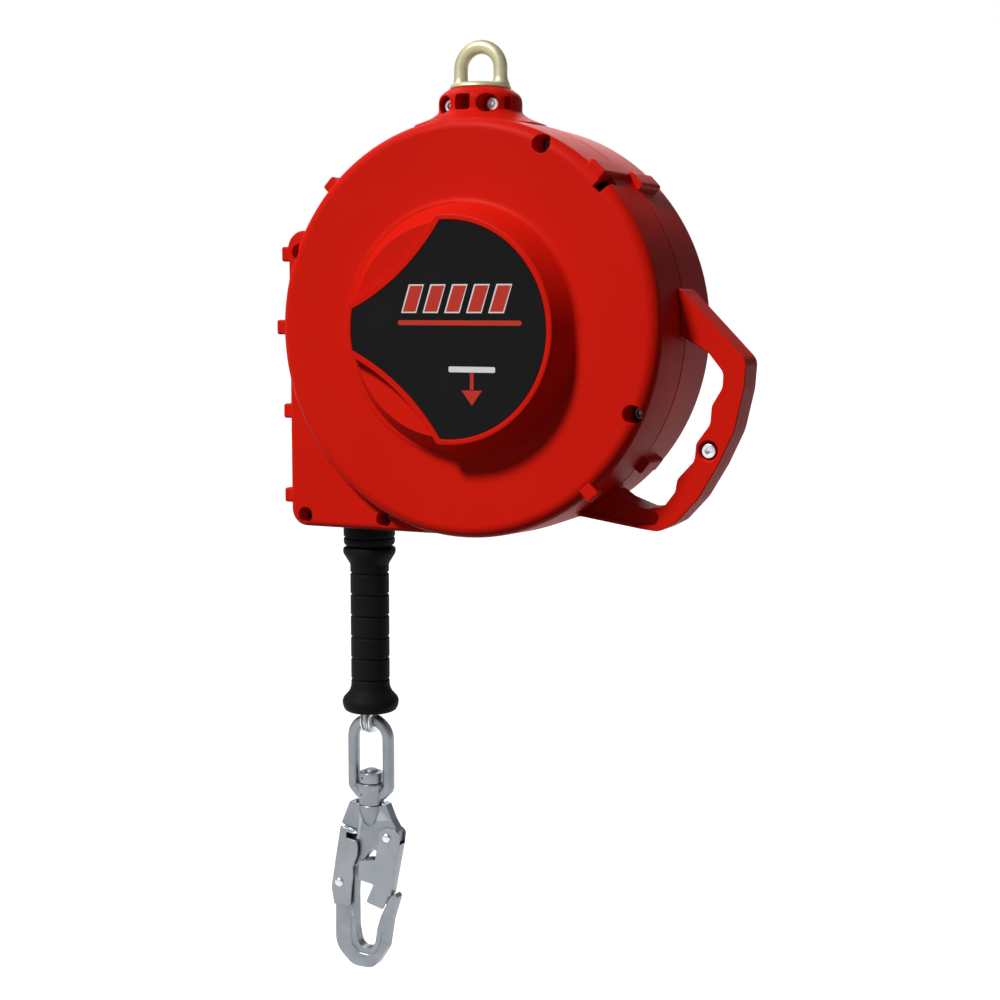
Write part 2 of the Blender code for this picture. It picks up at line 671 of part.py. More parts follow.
def handle_half(name, side):
    """One half of the carrying handle; its arms end just outside the drum's wall."""
    front = side > 0
    facing = (0, 0, 0) if front else (0, pi, 0)
    thickness = HANDLE_FRONT if front else HANDLE_REAR

    def across(corners):
        """The rear half's local x runs the other way."""
        return [(side * x, y) for x, y in rounded(scaled(corners), 2)][::side]

    half = plate(name, [across(GRIP_EDGE + OUTER_EDGE)], GAP / 2, thickness, drum_axis, RED,
                 rotation=facing, bevel=2.5 * MM)
    pocket = plate(name + "_pocket", [across(ARM_POCKET)], thickness - 6 * MM, 0.05, drum_axis,
                   rotation=facing, as_cutter=True)
    seat = turned(name + "_seat", [(0, 0.1), (WALL_RADIUS + GAP + 2 * MM, 0.1),
                                   (WALL_RADIUS + GAP, 0), (0, 0)], drum_axis,
                  rotation=facing, steps=FINE, as_cutter=True)
    hole = rod(name + "_hole", SCREW_SHANK_RADIUS + GAP, -0.05, 0.05, drum_axis, steps=SMALL,
               location=(*HANDLE_SCREW, 0), as_cutter=True)
    recess = rod(name + "_recess", HANDLE_RECESS, HANDLE_SEAT if front else NUT_SEAT, 0.05,
                 drum_axis, steps=12, location=(*HANDLE_SCREW, 0), rotation=facing,
                 as_cutter=True)
    return cut(half, pocket, seat, hole, recess)


handle_half("handle_front", 1)
handle_half("handle_rear", -1)
cap_screw("handle_screw", HANDLE_SEAT + NUT_SEAT + 5 * MM, drum_axis, (*HANDLE_SCREW, HANDLE_SEAT))
hex_nut("handle_nut", 10 * MM, 4 * MM, SCREW_SHANK_RADIUS + GAP / 2, drum_axis, ZINC,
        (*HANDLE_SCREW, -NUT_SEAT - GAP - 4 * MM))

# ---- anchor eye, its nut and the block that carries it ------------------------------------------
FLANGE_BOTTOM = NECK_TOP + GAP
FLANGE_TOP = FLANGE_BOTTOM + EYE_FLANGE_THICKNESS
ARCH_Z = EYE_CROWN + EYE_BAR_RADIUS - EYE_HALF_WIDTH
BLOCK_LOW, BLOCK_HIGH = 126 * MM, 139 * MM
NUT_HEIGHT = 11 * MM

eye_path = [(-EYE_HALF_WIDTH, 0, FLANGE_TOP - 3 * MM)]
eye_path += [(x, 0, z) for x, z in arc((0, ARCH_Z), EYE_HALF_WIDTH, 180, 0, 12)]
eye_path += [(EYE_HALF_WIDTH, 0, FLANGE_TOP - 3 * MM)]
eye_bow = tube("eye_bow", eye_path, EYE_BAR_RADIUS, anchor_axis, None, sides=3)
parts.objects.unlink(eye_bow)
cutters.objects.link(eye_bow)
eye_bow.hide_render = True
eye_bow.display_type = "WIRE"
anchor_eye = turned("anchor_eye", [
    (0, FLANGE_TOP), (EYE_FLANGE_RADIUS - 1.5 * MM, FLANGE_TOP),
    (EYE_FLANGE_RADIUS, FLANGE_TOP - 1.5 * MM), (EYE_FLANGE_RADIUS, FLANGE_BOTTOM),
    (STEM_RADIUS, FLANGE_BOTTOM), (STEM_RADIUS, BLOCK_LOW - NUT_HEIGHT - 2 * MM),
    (0, BLOCK_LOW - NUT_HEIGHT - 2 * MM)], anchor_axis, YELLOW_ZINC, steps=ROUND)
join(anchor_eye, eye_bow)
hex_nut("anchor_nut", 27 * MM, NUT_HEIGHT, STEM_RADIUS + GAP, anchor_axis, ZINC,
        (0, 0, BLOCK_LOW - GAP - NUT_HEIGHT))

anchor_block = block("anchor_block", (-24 * MM, -PLATE_FACE + GAP, BLOCK_LOW),
                     (24 * MM, PLATE_FACE - GAP, BLOCK_HIGH), anchor_axis, FORGED,
                     bevel=1.5 * MM)
cut(anchor_block, stem_bore)


# ---- load frame ---------------------------------------------------------------------------------
FRAME_BOLTS = [(-DRUM_X + x * MM, 132.5 * MM) for x in (-17, 17)]
BRAKE_STUDS = [(68.5 * MM * cos(radians(a)), 68.5 * MM * sin(radians(a))) for a in (30, 150, 270)]


def frame_plate(name, low, disc_radius, bore):
    """Flat plate: a disc round the shaft with a tongue up to the anchor block."""
    half = 24 * MM
    reach = sqrt(disc_radius ** 2 - half ** 2)
    start = 90 - atan2(half, reach) * 180 / pi
    outline = arc((0, 0), disc_radius, start, start - 360 + 2 * (90 - start), 20)
    outline += [(-half - DRUM_X, BLOCK_HIGH), (half - DRUM_X, BLOCK_HIGH)]
    holes = [circle(bore, 16)]
    holes += [circle(SCREW_SHANK_RADIUS + GAP, 12, centre) for centre in FRAME_BOLTS]
    if disc_radius > RING_RADIUS:
        holes += [circle(SCREW_SHANK_RADIUS + GAP, 12, centre) for centre in BRAKE_STUDS]
    return plate(name, [outline] + holes, low, low + PLATE_THICKNESS, drum_axis, ZINC)


BUSH_RADIUS = 12 * MM
frame_plate("front_frame_plate", PLATE_FACE, 34 * MM, BUSH_RADIUS + GAP)
frame_plate("rear_frame_plate", -PLATE_FACE - PLATE_THICKNESS, 74 * MM, BUSH_RADIUS + GAP)
for name, low in (("shaft_bush_front", PLATE_FACE), ("shaft_bush_rear", -PLATE_FACE - 3 * MM)):
    ring(name, SHAFT_BORE, BUSH_RADIUS, low, low + 3 * MM, drum_axis, finish=BRONZE, steps=16)
for index, (x, y) in enumerate(FRAME_BOLTS):
    hole = rod(f"frame_hole_{index}", SCREW_SHANK_RADIUS + GAP, -0.04, 0.04, drum_axis,
               steps=SMALL, location=(x, y, 0), as_cutter=True)
    cut(anchor_block, hole)
    bolt_reach = PLATE_FACE + PLATE_THICKNESS
    cap_screw(f"frame_bolt_{index + 1}", 2 * bolt_reach + 5 * MM, drum_axis, (x, y, bolt_reach))

# ---- reel: shaft, core, flanges and the wound cable ---------------------------------------------
rod("drum_shaft", SHAFT_RADIUS, -45 * MM, CASE_HIGH + 2.2 * MM, drum_axis, finish=FORGED,
    steps=ROUND)

HUB_RADIUS = 16 * MM
CORE_HALF = 22 * MM
RIM_INSIDE = REEL_RADIUS - 3 * MM
WEB_HALF = 2 * MM
turned("drum_core", [
    (REEL_RADIUS, CORE_HALF), (REEL_RADIUS, -CORE_HALF), (RIM_INSIDE, -CORE_HALF),
    (RIM_INSIDE, -WEB_HALF), (HUB_RADIUS, -WEB_HALF), (HUB_RADIUS, -CORE_HALF),
    (SHAFT_BORE, -CORE_HALF), (SHAFT_BORE, CORE_HALF), (HUB_RADIUS, CORE_HALF),
    (HUB_RADIUS, WEB_HALF), (RIM_INSIDE, WEB_HALF), (RIM_INSIDE, CORE_HALF)],
    drum_axis, ALUMINIUM, closed=True, steps=28)
for name, low in (("drum_flange_front", CORE_HALF + GAP), ("drum_flange_rear", -23.8 * MM)):
    ring(name, SHAFT_BORE, FLANGE_RADIUS, low, low + 1.5 * MM, drum_axis, finish=ALUMINIUM,
         steps=28)
PACK_OUTSIDE = CABLE_LINE + CABLE_RADIUS
LANE = CABLE_RADIUS + GAP            # half the lane that the leaving cable runs in
LANE_FLOOR = CABLE_LINE - CABLE_RADIUS - GAP
turned("lifeline_wound", [
    (PACK_OUTSIDE, PACK_HALF_WIDTH), (PACK_OUTSIDE, LANE), (LANE_FLOOR, LANE),
    (LANE_FLOOR, -LANE), (PACK_OUTSIDE, -LANE), (PACK_OUTSIDE, -PACK_HALF_WIDTH),
    (REEL_RADIUS + GAP, -PACK_HALF_WIDTH), (REEL_RADIUS + GAP, PACK_HALF_WIDTH)],
    drum_axis, WIRE, closed=True, steps=28)
rod("cable_end_stop", 4.5 * MM, -8 * MM, 8 * MM, drum_axis, finish=ZINC, steps=16,
    location=(0, RIM_INSIDE - 6 * MM, WEB_HALF + 5.5 * MM), rotation=(0, pi / 2, 0))

# ---- mainspring in its case, front side ---------------------------------------------------------
turned("spring_case", [
    (CASE_RADIUS, CASE_HIGH), (CASE_RADIUS, CASE_LOW), (17 * MM, CASE_LOW),
    (17 * MM, CASE_LOW + 1.5 * MM), (CASE_RADIUS - 1.5 * MM, CASE_LOW + 1.5 * MM),
    (CASE_RADIUS - 1.5 * MM, CASE_HIGH)], drum_axis, ZINC, closed=True, steps=28)
ring("spring_cover", 9.5 * MM, CASE_RADIUS, CASE_HIGH + GAP, CASE_HIGH + GAP + 1.5 * MM,
     drum_axis, finish=ZINC, steps=28)
ring("spring_arbor", SHAFT_BORE, 14 * MM, CASE_LOW + 2 * MM, CASE_HIGH - MM, drum_axis,
     finish=FORGED, steps=16)


def spiral_strip(inner, outer, turns, thickness, steps_per_turn):
    """Closed outline of a flat strip wound in a spiral."""
    count = int(turns * steps_per_turn)
    inside, outside = [], []
    for step in range(count + 1):
        angle = 2 * pi * turns * step / count
        radius = inner + (outer - inner) * step / count
        inside.append((radius * cos(angle), radius * sin(angle)))
        outside.append(((radius + thickness) * cos(angle), (radius + thickness) * sin(angle)))
    return inside + outside[::-1]


plate("mainspring", [spiral_strip(15 * MM, 66.5 * MM, 5, 1.1 * MM, 14)], CASE_LOW + 3 * MM,
      CASE_HIGH - 2 * MM, drum_axis, SPRING_STEEL)

# ---- brake, rear side ---------------------------------------------------------------------------
REAR_FACE = PLATE_FACE + PLATE_THICKNESS          # rear face of the rear frame plate
LINING_INNER = 57.5 * MM
RING_NEAR, RING_FAR = REAR_FACE + 2.6 * MM, REAR_FACE + 10.6 * MM
ring("friction_lining_1", LINING_INNER, RING_RADIUS, -RING_NEAR + GAP, -REAR_FACE - GAP,
     drum_axis, finish=LINING, steps=ROUND)
ring("friction_lining_2", LINING_INNER, RING_RADIUS, -RING_FAR - 2 * MM, -RING_FAR - GAP,
     drum_axis, finish=LINING, steps=ROUND)


def ratchet_outline():
    """Internal teeth, with gaps about twice as wide as the teeth."""
    points = []
    pitch = 360 / RING_TEETH
    for tooth in range(RING_TEETH):
        start = tooth * pitch
        points += arc((0, 0), RING_ROOT_RADIUS, start - 9, start + 9, 2)
        points += arc((0, 0), RING_TIP_RADIUS, start + 11.5, start + pitch - 11.5, 1)
    return points


PAWL_PHASE = 12.6                    # degrees; the first pawl's pivot, from +X
plate("ratchet_ring", [circle(RING_RADIUS, 36), ratchet_outline()], -RING_FAR, -RING_NEAR,
      drum_axis, FORGED)
ring("pressure_plate", 46 * MM, 74 * MM, -RING_FAR - 5 * MM - GAP, -RING_FAR - 2 * MM - GAP,
     drum_axis, finish=ZINC, steps=28)
pressure_plate = bpy.data.objects["pressure_plate"]
for index, (x, y) in enumerate(BRAKE_STUDS):
    hole = rod(f"stud_hole_{index}", SCREW_SHANK_RADIUS + GAP, -0.06, 0, drum_axis, steps=12,
               location=(x, y, 0), as_cutter=True)
    cut(pressure_plate, hole)
    cap_screw(f"brake_stud_{index + 1}", RING_FAR + 4.5 * MM - PLATE_FACE, drum_axis,
              (x, y, -RING_FAR - 5 * MM - GAP), (0, pi, 0))

CARRIER_NEAR, CARRIER_FAR = REAR_FACE + 0.5 * MM, REAR_FACE + 3.5 * MM
PIN_RADIUS = 3 * MM
pawl_carrier = ring("pawl_carrier", SHAFT_BORE, 36 * MM, -CARRIER_FAR, -CARRIER_NEAR, drum_axis,
                    finish=FORGED, steps=ROUND)


def pawl_outline():
    """Pawl along local +x from its pivot, heavy behind the pivot and square at its tip."""
    return rounded([(-8 * MM, -5 * MM, 3 * MM), (10 * MM, -5 * MM, 3 * MM),
                    (PAWL_LENGTH, -2.5 * MM, 0), (PAWL_LENGTH, 2 * MM, 0),
                    (12 * MM, 5 * MM, 4 * MM), (-8 * MM, 5 * MM, 3 * MM)], 2)


for index in range(2):
    around = radians(PAWL_PHASE + 180 * index)
    pivot = (PAWL_PIVOT_RADIUS * cos(around), PAWL_PIVOT_RADIUS * sin(around))
    pin = rod(f"pawl_pin_{index}", PIN_RADIUS, -RING_FAR, -CARRIER_NEAR - MM, drum_axis,
              steps=16, location=(*pivot, 0), as_cutter=True)
    join(pawl_carrier, pin)
    plate(f"pawl_{index + 1}", [pawl_outline(), circle(PIN_RADIUS + GAP, 16)],
          -CARRIER_FAR - 6.5 * MM, -CARRIER_FAR - 0.5 * MM, drum_axis, FORGED,
          location=(*pivot, 0), rotation=(0, 0, around + radians(PAWL_REST_ANGLE)))


def coil(turns, radius, pitch, steps_per_turn):
    count = int(turns * steps_per_turn)
    return [(radius * cos(2 * pi * step / steps_per_turn),
             radius * sin(2 * pi * step / steps_per_turn),
             pitch * step / steps_per_turn) for step in range(count + 1)]


for index in range(2):
    around = radians(PAWL_PHASE + 180 * index - 38)
    wound = coil(3, 2.4 * MM, 2.5 * MM, 6)
    seat = (28 * MM * cos(around), 28 * MM * sin(around), -CARRIER_FAR - 3.6 * MM)
    turned_coil = [(x + seat[0], z + seat[1] - 4 * MM, y + seat[2]) for x, y, z in wound]
    tube(f"pawl_spring_{index + 1}", turned_coil, 0.5 * MM, drum_axis, SPRING_STEEL)

# ---- cable end: nozzle, lead, ferrule, thimble and grip -----------------------------------------
LIP_TOP, LIP_BOTTOM = BLOCK_BOTTOM + WALL + 3 * MM, BLOCK_BOTTOM + WALL + GAP
turned("cable_nozzle", [
    (NOZZLE_RADIUS, LIP_TOP), (NOZZLE_RADIUS, LIP_BOTTOM), (NOZZLE_WAIST, LIP_BOTTOM),
    (NOZZLE_WAIST, BLOCK_BOTTOM - GAP), (NOZZLE_RADIUS, BLOCK_BOTTOM - GAP),
    (NOZZLE_RADIUS - 0.2 * MM, NOZZLE_BOTTOM + 3 * MM), (NOZZLE_RADIUS - 2.5 * MM, NOZZLE_BOTTOM),
    (6 * MM, NOZZLE_BOTTOM), (3.4 * MM, NOZZLE_BOTTOM + 5 * MM), (3.4 * MM, BLOCK_BOTTOM),
    (7 * MM, LIP_TOP)],
    cable_line, RUBBER, closed=True, steps=ROUND)

FERRULE_TOP, FERRULE_BOTTOM = -236 * MM, -272 * MM
STRAND = CABLE_RADIUS + GAP          # half the spacing of the two strands in the ferrule
GRIP_BORE = 3 * MM
GRIP_CUP = 9 * MM


def lead_path():
    """Down the cable line, round the thimble in the YZ plane and back into the ferrule."""
    heights = [LEAD_TOP, 0, -150 * MM, -215 * MM]
    points = [(0, 0, height) for height in heights]
    points += [(0, -STRAND * 0.5, -226 * MM), (0, -STRAND, -234 * MM),
               (0, -STRAND, FERRULE_BOTTOM - 2 * MM)]
    bend = arc((0, LINK_PIVOT), EYE_LOOP_RADIUS, 160, 380, 14)
    points += [(0, y, z) for y, z in bend]
    points += [(0, STRAND, FERRULE_BOTTOM - 2 * MM), (0, STRAND, FERRULE_TOP + GAP)]
    return points


tube("lifeline_lead", lead_path(), CABLE_RADIUS, cable_line, WIRE)


def slot_outline(half_length, radius):
    """Stadium with its long axis along local y."""
    top = arc((0, half_length), radius, 0, 180, 8)
    bottom = arc((0, -half_length), radius, 180, 360, 8)
    return top + bottom


plate("lead_ferrule", [slot_outline(STRAND, 5.2 * MM), slot_outline(STRAND, STRAND)],
      FERRULE_BOTTOM, FERRULE_TOP, cable_line, ALUMINIUM)

thimble_bore = LINK_BAR_RADIUS + 0.8 * MM
thimble_groove = EYE_LOOP_RADIUS - CABLE_RADIUS - GAP
groove_half = CABLE_RADIUS + GAP
turned("thimble", [
    (THIMBLE_FLANGE, THIMBLE_HALF_WIDTH), (THIMBLE_FLANGE, groove_half),
    (thimble_groove, groove_half), (thimble_groove, -groove_half),
    (THIMBLE_FLANGE, -groove_half), (THIMBLE_FLANGE, -THIMBLE_HALF_WIDTH),
    (thimble_bore, -THIMBLE_HALF_WIDTH), (thimble_bore, THIMBLE_HALF_WIDTH)],
    cable_line, ZINC, location=(0, 0, LINK_PIVOT), rotation=(0, pi / 2, 0), closed=True, steps=24)


def grip_profile():
    """Rubber grip: collar, grooved barrel and flared foot outside, cable bore inside."""
    profile = [(19.3 * MM, GRIP_TOP), (20.2 * MM, GRIP_TOP - MM), (20.2 * MM, -171 * MM),
               (17 * MM, -177 * MM), (GRIP_RADIUS, -180 * MM)]
    for groove in range(GRIP_GROOVES):
        middle = GROOVE_TOP - groove * GROOVE_PITCH
        profile += [(GRIP_RADIUS, middle + 1.1 * MM), (GRIP_RADIUS - 1.1 * MM, middle),
                    (GRIP_RADIUS, middle - 1.1 * MM)]
    profile += [(GRIP_RADIUS, -275 * MM), (17.4 * MM, -280.5 * MM), (21.3 * MM, -285 * MM),
                (21.8 * MM, -287.8 * MM), (21 * MM, -292 * MM), (18.3 * MM, GRIP_BOTTOM),
                (13 * MM, GRIP_BOTTOM), (GRIP_CUP + 3.5 * MM, -284 * MM), (GRIP_CUP, -275 * MM),
                (GRIP_CUP, -228 * MM), (GRIP_BORE + 3 * MM, -220 * MM), (GRIP_BORE, -212 * MM),
                (GRIP_BORE, -172 * MM), (6 * MM, GRIP_TOP)]
    return profile


turned("grip", grip_profile(), cable_line, RUBBER, closed=True, steps=ROUND)

# ---- swivel link --------------------------------------------------------------------------------
link_top = LINK_PIVOT - LINK_HALF_WIDTH
link_corner, link_shoulder = LINK_HALF_WIDTH - LINK_CHAMFER, LINK_BOTTOM + LINK_CHAMFER
link_path = arc((0, link_top), LINK_HALF_WIDTH, 0, 180, 8)
link_path += [(-LINK_HALF_WIDTH, link_shoulder), (-link_corner, LINK_BOTTOM),
              (link_corner, LINK_BOTTOM), (LINK_HALF_WIDTH, link_shoulder)]
swivel_link = tube("swivel_link", [(x, 0, z - LINK_PIVOT) for x, z in link_path],
                   LINK_BAR_RADIUS, cable_line, FORGED, location=(0, 0, LINK_PIVOT),
                   closed=True, sides=2)
collar = turned("link_collar", [
    (COLLAR_RADIUS - MM, COLLAR_TOP), (COLLAR_RADIUS, COLLAR_TOP - MM),
    (COLLAR_RADIUS - 0.4 * MM, COLLAR_BOTTOM + MM), (COLLAR_RADIUS - 1.4 * MM, COLLAR_BOTTOM),
    (SHANK_RADIUS + GAP, COLLAR_BOTTOM), (SHANK_RADIUS + GAP, COLLAR_TOP)],
    cable_line, closed=True, steps=18, as_cutter=True)
shank_hole = rod("shank_hole", SHANK_RADIUS + GAP, -0.38, -0.34, cable_line, steps=20,
                 as_cutter=True)
join(swivel_link, collar)
cut(swivel_link, shank_hole)

# ---- snap hook ----------------------------------------------------------------------------------
HOOK_OUTER = [                       # (across, up, radius) in mm, down the spine and up the nose
    (-10.9, -370, 0), (-11.2, -367, 0.5), (-17.4, -369.3, 2), (-25.1, -387.5, 1.5),
    (-14.5, -391.5, 1.5), (-10.5, -394.5, 2), (-14, -401.5, 4), (-20, -407, 5), (-20.5, -424, 10),
    (-30, -437, 8), (-31, -456, 10), (-31.3, -488, 19), (-16, -502, 14), (3, -502, 12),
    (14.7, -484, 10), (18.5, -461, 12), (24.8, -441.3, 1.5), (22.5, -438.5, 1),
]
HOOK_INNER = [                       # back down the nose, round the bowl and up to the gate
    (18.5, -441, 1), (9.8, -457.9, 8), (6.5, -468, 8), (3.8, -485.3, 8), (-9.8, -486.5, 7),
    (-12.8, -470, 8), (-13, -420, 2), (-6.6, -416, 3), (3.2, -404.5, 3), (8, -407.5, 4),
    (20, -405.6, 6), (25.2, -398, 5), (26, -388.5, 4), (20.5, -380, 4), (15.5, -368.5, 2),
    (11.2, -367, 0.5), (10.9, -370, 0),
]


hook_body = plate("hook_body", [rounded(scaled(HOOK_OUTER + HOOK_INNER), 2)],
                  -HOOK_HALF_THICKNESS, HOOK_HALF_THICKNESS, cable_line, FORGED,
                  rotation=FACING_FRONT, bevel=1.3 * MM)
neck_cone = turned("hook_neck", [
    (0, CAP_TOP + 2 * MM), (SHANK_RADIUS - MM, CAP_TOP + 2 * MM), (SHANK_RADIUS, CAP_TOP + MM),
    (SHANK_RADIUS, COLLAR_BOTTOM - GAP), (9.6 * MM, COLLAR_BOTTOM - GAP),
    (9.6 * MM, -373 * MM), (8.4 * MM, -380 * MM), (6.6 * MM, -384 * MM), (4 * MM, -387.5 * MM),
    (0, -390 * MM)],
    cable_line, steps=20, as_cutter=True)
join(hook_body, neck_cone)
ring("swivel_cap", SHANK_RADIUS + GAP, CAP_RADIUS, COLLAR_TOP + GAP, CAP_TOP, cable_line,
     finish=ZINC, steps=20)


def rivet(name, pivot, reach):
    """Dome-headed rivet through the hook's thickness."""
    head, dome, shank = 3.6 * MM, 1.5 * MM, 2 * MM
    profile = [(0, reach + dome), (head * 0.6, reach + dome * 0.8), (head, reach + GAP),
               (shank, reach + GAP), (shank, -reach - GAP), (head, -reach - GAP),
               (head * 0.6, -reach - dome * 0.8), (0, -reach - dome)]
    return turned(name, profile, cable_line, ZINC, location=(pivot[0], 0, pivot[1]),
                  rotation=FACING_FRONT, steps=12)


GATE_INSIDE, GATE_OUTSIDE = HOOK_HALF_THICKNESS + GAP, HOOK_HALF_THICKNESS + 1.8 * MM
LEVER_INSIDE, LEVER_OUTSIDE = GATE_OUTSIDE + GAP, GATE_OUTSIDE + 1.8 * MM
RIVET_HOLE = 2.3 * MM


def pivot_hole(name, pivot):
    return rod(name, RIVET_HOLE, -0.02, 0.02, cable_line, steps=16,
               location=(pivot[0], 0, pivot[1]), rotation=FACING_FRONT, as_cutter=True)


gate_hole = pivot_hole("gate_pivot_hole", GATE_PIVOT)
lever_hole = pivot_hole("lever_pivot_hole", LEVER_PIVOT)
cut(hook_body, gate_hole, lever_hole)
rivet("gate_rivet", GATE_PIVOT, GATE_OUTSIDE)
rivet("lever_rivet", LEVER_PIVOT, LEVER_OUTSIDE)

GATE_CHEEK = [
    (9.5, -390, 2), (14, -386.5, 3), (24, -386.5, 3), (28.4, -391, 3), (27.6, -398, 0),
    (19.3, -439.5, 1), (17, -441.5, 0.5), (12.4, -451.9, 1.5), (-2.5, -448.1, 1.5),
    (4.3, -432.9, 1), (-9.4, -431, 1), (-8.5, -415.3, 1), (5.8, -413, 1), (9, -397, 0),
]
GATE_ROOM = [(-60, -370, 0), (60, -370, 0), (60, -398.5, 0), (26.1, -398.5, 0),
             (17.8, -440, 0), (17.8, -475, 0), (-60, -475, 0)]
LEVER_CHEEK = [
    (-25.4, -388.7, 1.5), (-12, -391.2, 0.8), (-12.2, -392.6, 0.6), (-19, -393.5, 1),
    (-19, -398, 1.5), (-9.2, -399.5, 2), (-8.5, -404, 2), (-9, -411, 3), (-13, -420.4, 3),
    (-13.2, -428, 3), (-14.5, -437, 3), (-15.8, -452.8, 2), (-32.2, -453.1, 3), (-34.5, -440, 5),
    (-30.5, -415.7, 20),
]
LEVER_ROOM = [(-60, -380, 0), (-60, -392, 0), (-24.4, -392, 0), (-28.8, -415.7, 0),
              (-32.6, -439, 0), (-31.9, -447, 0), (-60, -448, 0), (-60, -470, 0), (0, -470, 0),
              (0, -380, 0)]


def folded_cheek(name, cheek, room, inside, outside, pivot, hole):
    """Folded sheet: two cheeks joined along the back, with room for the forging between."""
    shape = moved(scaled(cheek), pivot)
    clear = moved(scaled(room), pivot)
    folded = plate(name, [rounded(shape, 3)], -outside, outside, cable_line, SHEET,
                   location=(pivot[0], 0, pivot[1]), rotation=FACING_FRONT)
    space = plate(name + "_room", [rounded(clear, 1)], -inside, inside, cable_line,
                  location=(pivot[0], 0, pivot[1]), rotation=FACING_FRONT, as_cutter=True)
    cut(folded, space, hole)
    return folded


folded_cheek("gate", GATE_CHEEK, GATE_ROOM, GATE_INSIDE, GATE_OUTSIDE, GATE_PIVOT, gate_hole)
lock_lever = folded_cheek("lock_lever", LEVER_CHEEK, LEVER_ROOM, LEVER_INSIDE, LEVER_OUTSIDE,
                          LEVER_PIVOT, lever_hole)
rear_notch = block("lever_rear_notch", (-24.6 * MM, LEVER_INSIDE - MM, -398.4 * MM),
                   (-12 * MM, LEVER_OUTSIDE + MM, -393.2 * MM), cable_line, as_cutter=True)
cut(lock_lever, rear_notch)
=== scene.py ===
"""Self retracting lifeline: the visual model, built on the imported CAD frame.

Metres, +Z up, front towards -Y.  Casing outlines are drawn round the drum axis (across, up), and
the hook's round the cable line.
"""

import json

import bpy
import bmesh
from math import acos, cos, pi, radians, sin, tan
from mathutils import Matrix, Vector


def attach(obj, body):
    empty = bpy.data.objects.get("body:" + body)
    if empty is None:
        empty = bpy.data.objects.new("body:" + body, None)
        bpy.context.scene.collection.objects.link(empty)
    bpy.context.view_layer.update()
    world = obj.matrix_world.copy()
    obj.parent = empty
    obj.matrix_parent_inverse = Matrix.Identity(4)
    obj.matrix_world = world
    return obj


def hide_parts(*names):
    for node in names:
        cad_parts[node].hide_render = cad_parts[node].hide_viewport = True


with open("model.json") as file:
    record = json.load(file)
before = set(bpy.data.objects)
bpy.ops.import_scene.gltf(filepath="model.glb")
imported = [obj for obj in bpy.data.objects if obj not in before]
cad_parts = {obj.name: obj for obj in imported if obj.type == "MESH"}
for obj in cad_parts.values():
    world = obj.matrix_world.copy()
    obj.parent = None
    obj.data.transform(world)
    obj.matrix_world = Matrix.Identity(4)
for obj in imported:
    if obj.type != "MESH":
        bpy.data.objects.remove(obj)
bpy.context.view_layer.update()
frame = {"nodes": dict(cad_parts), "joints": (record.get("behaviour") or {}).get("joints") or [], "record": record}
MM = 0.001
TURN = 180          # steps round the casing
ROUND = 72          # steps round smaller pieces
SEGMENTS = 4         # steps over a rounded edge

# ---- the frame's own axes -----------------------------------------------------------------------
joints = {joint["name"]: joint for joint in frame["joints"]}
drum_at = Vector(joints["drum_spin"]["pos_m"])
link_at = Vector(joints["link_swing"]["pos_m"])
FRONT = Matrix.Rotation(pi / 2, 4, "X")                     # x across, y up, z to the front
DRUM = Matrix.Translation(drum_at) @ FRONT
DRUM_REAR = DRUM @ Matrix.Rotation(pi, 4, "Y")              # the same, seen from behind
ANCHOR = Matrix.Translation((0, 0, drum_at.z))
LINE = Matrix.Translation((link_at.x, 0, drum_at.z))
HOOK = LINE @ FRONT

# ---- sizes, in millimetres, round the drum axis -------------------------------------------------
WALL_R = 151
EDGE_R = {1: 149.2, -1: 150.2}
WALL = 4
BOSS_FOOT, BOSS_TOP = 89, 81
LABEL_R = 76
DEPTH = {1: 50, -1: 60}
FILLET = {1: 9, -1: 5}
BOSS = {1: 72, -1: 71}
LABEL_TOP = {1: 71.6, -1: 70.6}
BITE_CENTRE = (-147, 168)
BITE_R, LABEL_BITE_R = 165, 169.5
BITE_FLOOR, BITE_RISE, BITE_LENGTH = 62, 7.6, 103
BLOCK = (-152, -149.2, 58, 35, 13)     # left, bottom, top, depth, corner radius
EAR = (-136.5, 59)
SCREWS = [                           # across, up, seat depth, recess radius
    (142 * cos(radians(64)), 142 * sin(radians(64)), 26, 6.6),
    (142 * cos(radians(-23.5)), 142 * sin(radians(-23.5)), 26, 6.6),
    (-139.5, 56.7, 15, 6), (-138.5, -140.5, 15, 6), (-71, -140.5, 15, 6),
]
LEFT_LUGS = ((55.5, 157.2), (1, 162.2), (-62, 157.2), (-126, 157.2))
DRUM_LUGS = {1: ((136.5, 40),), -1: ((136.5, 42), (-38.75, 30))}
NECK_BOLT = (16.6, 160.3, 10)        # across, up, seat depth
SCREW_HOLE, SCREW_POST = 3.3, 9.5    # radii
STEM_HOLE, OUTLET = 8.1, 17.2
EYE_R, EYE_BAR = 15.9, 5
PIN_HOLE = 2.3
FAR = 300                            # beyond everything, for cutting tools


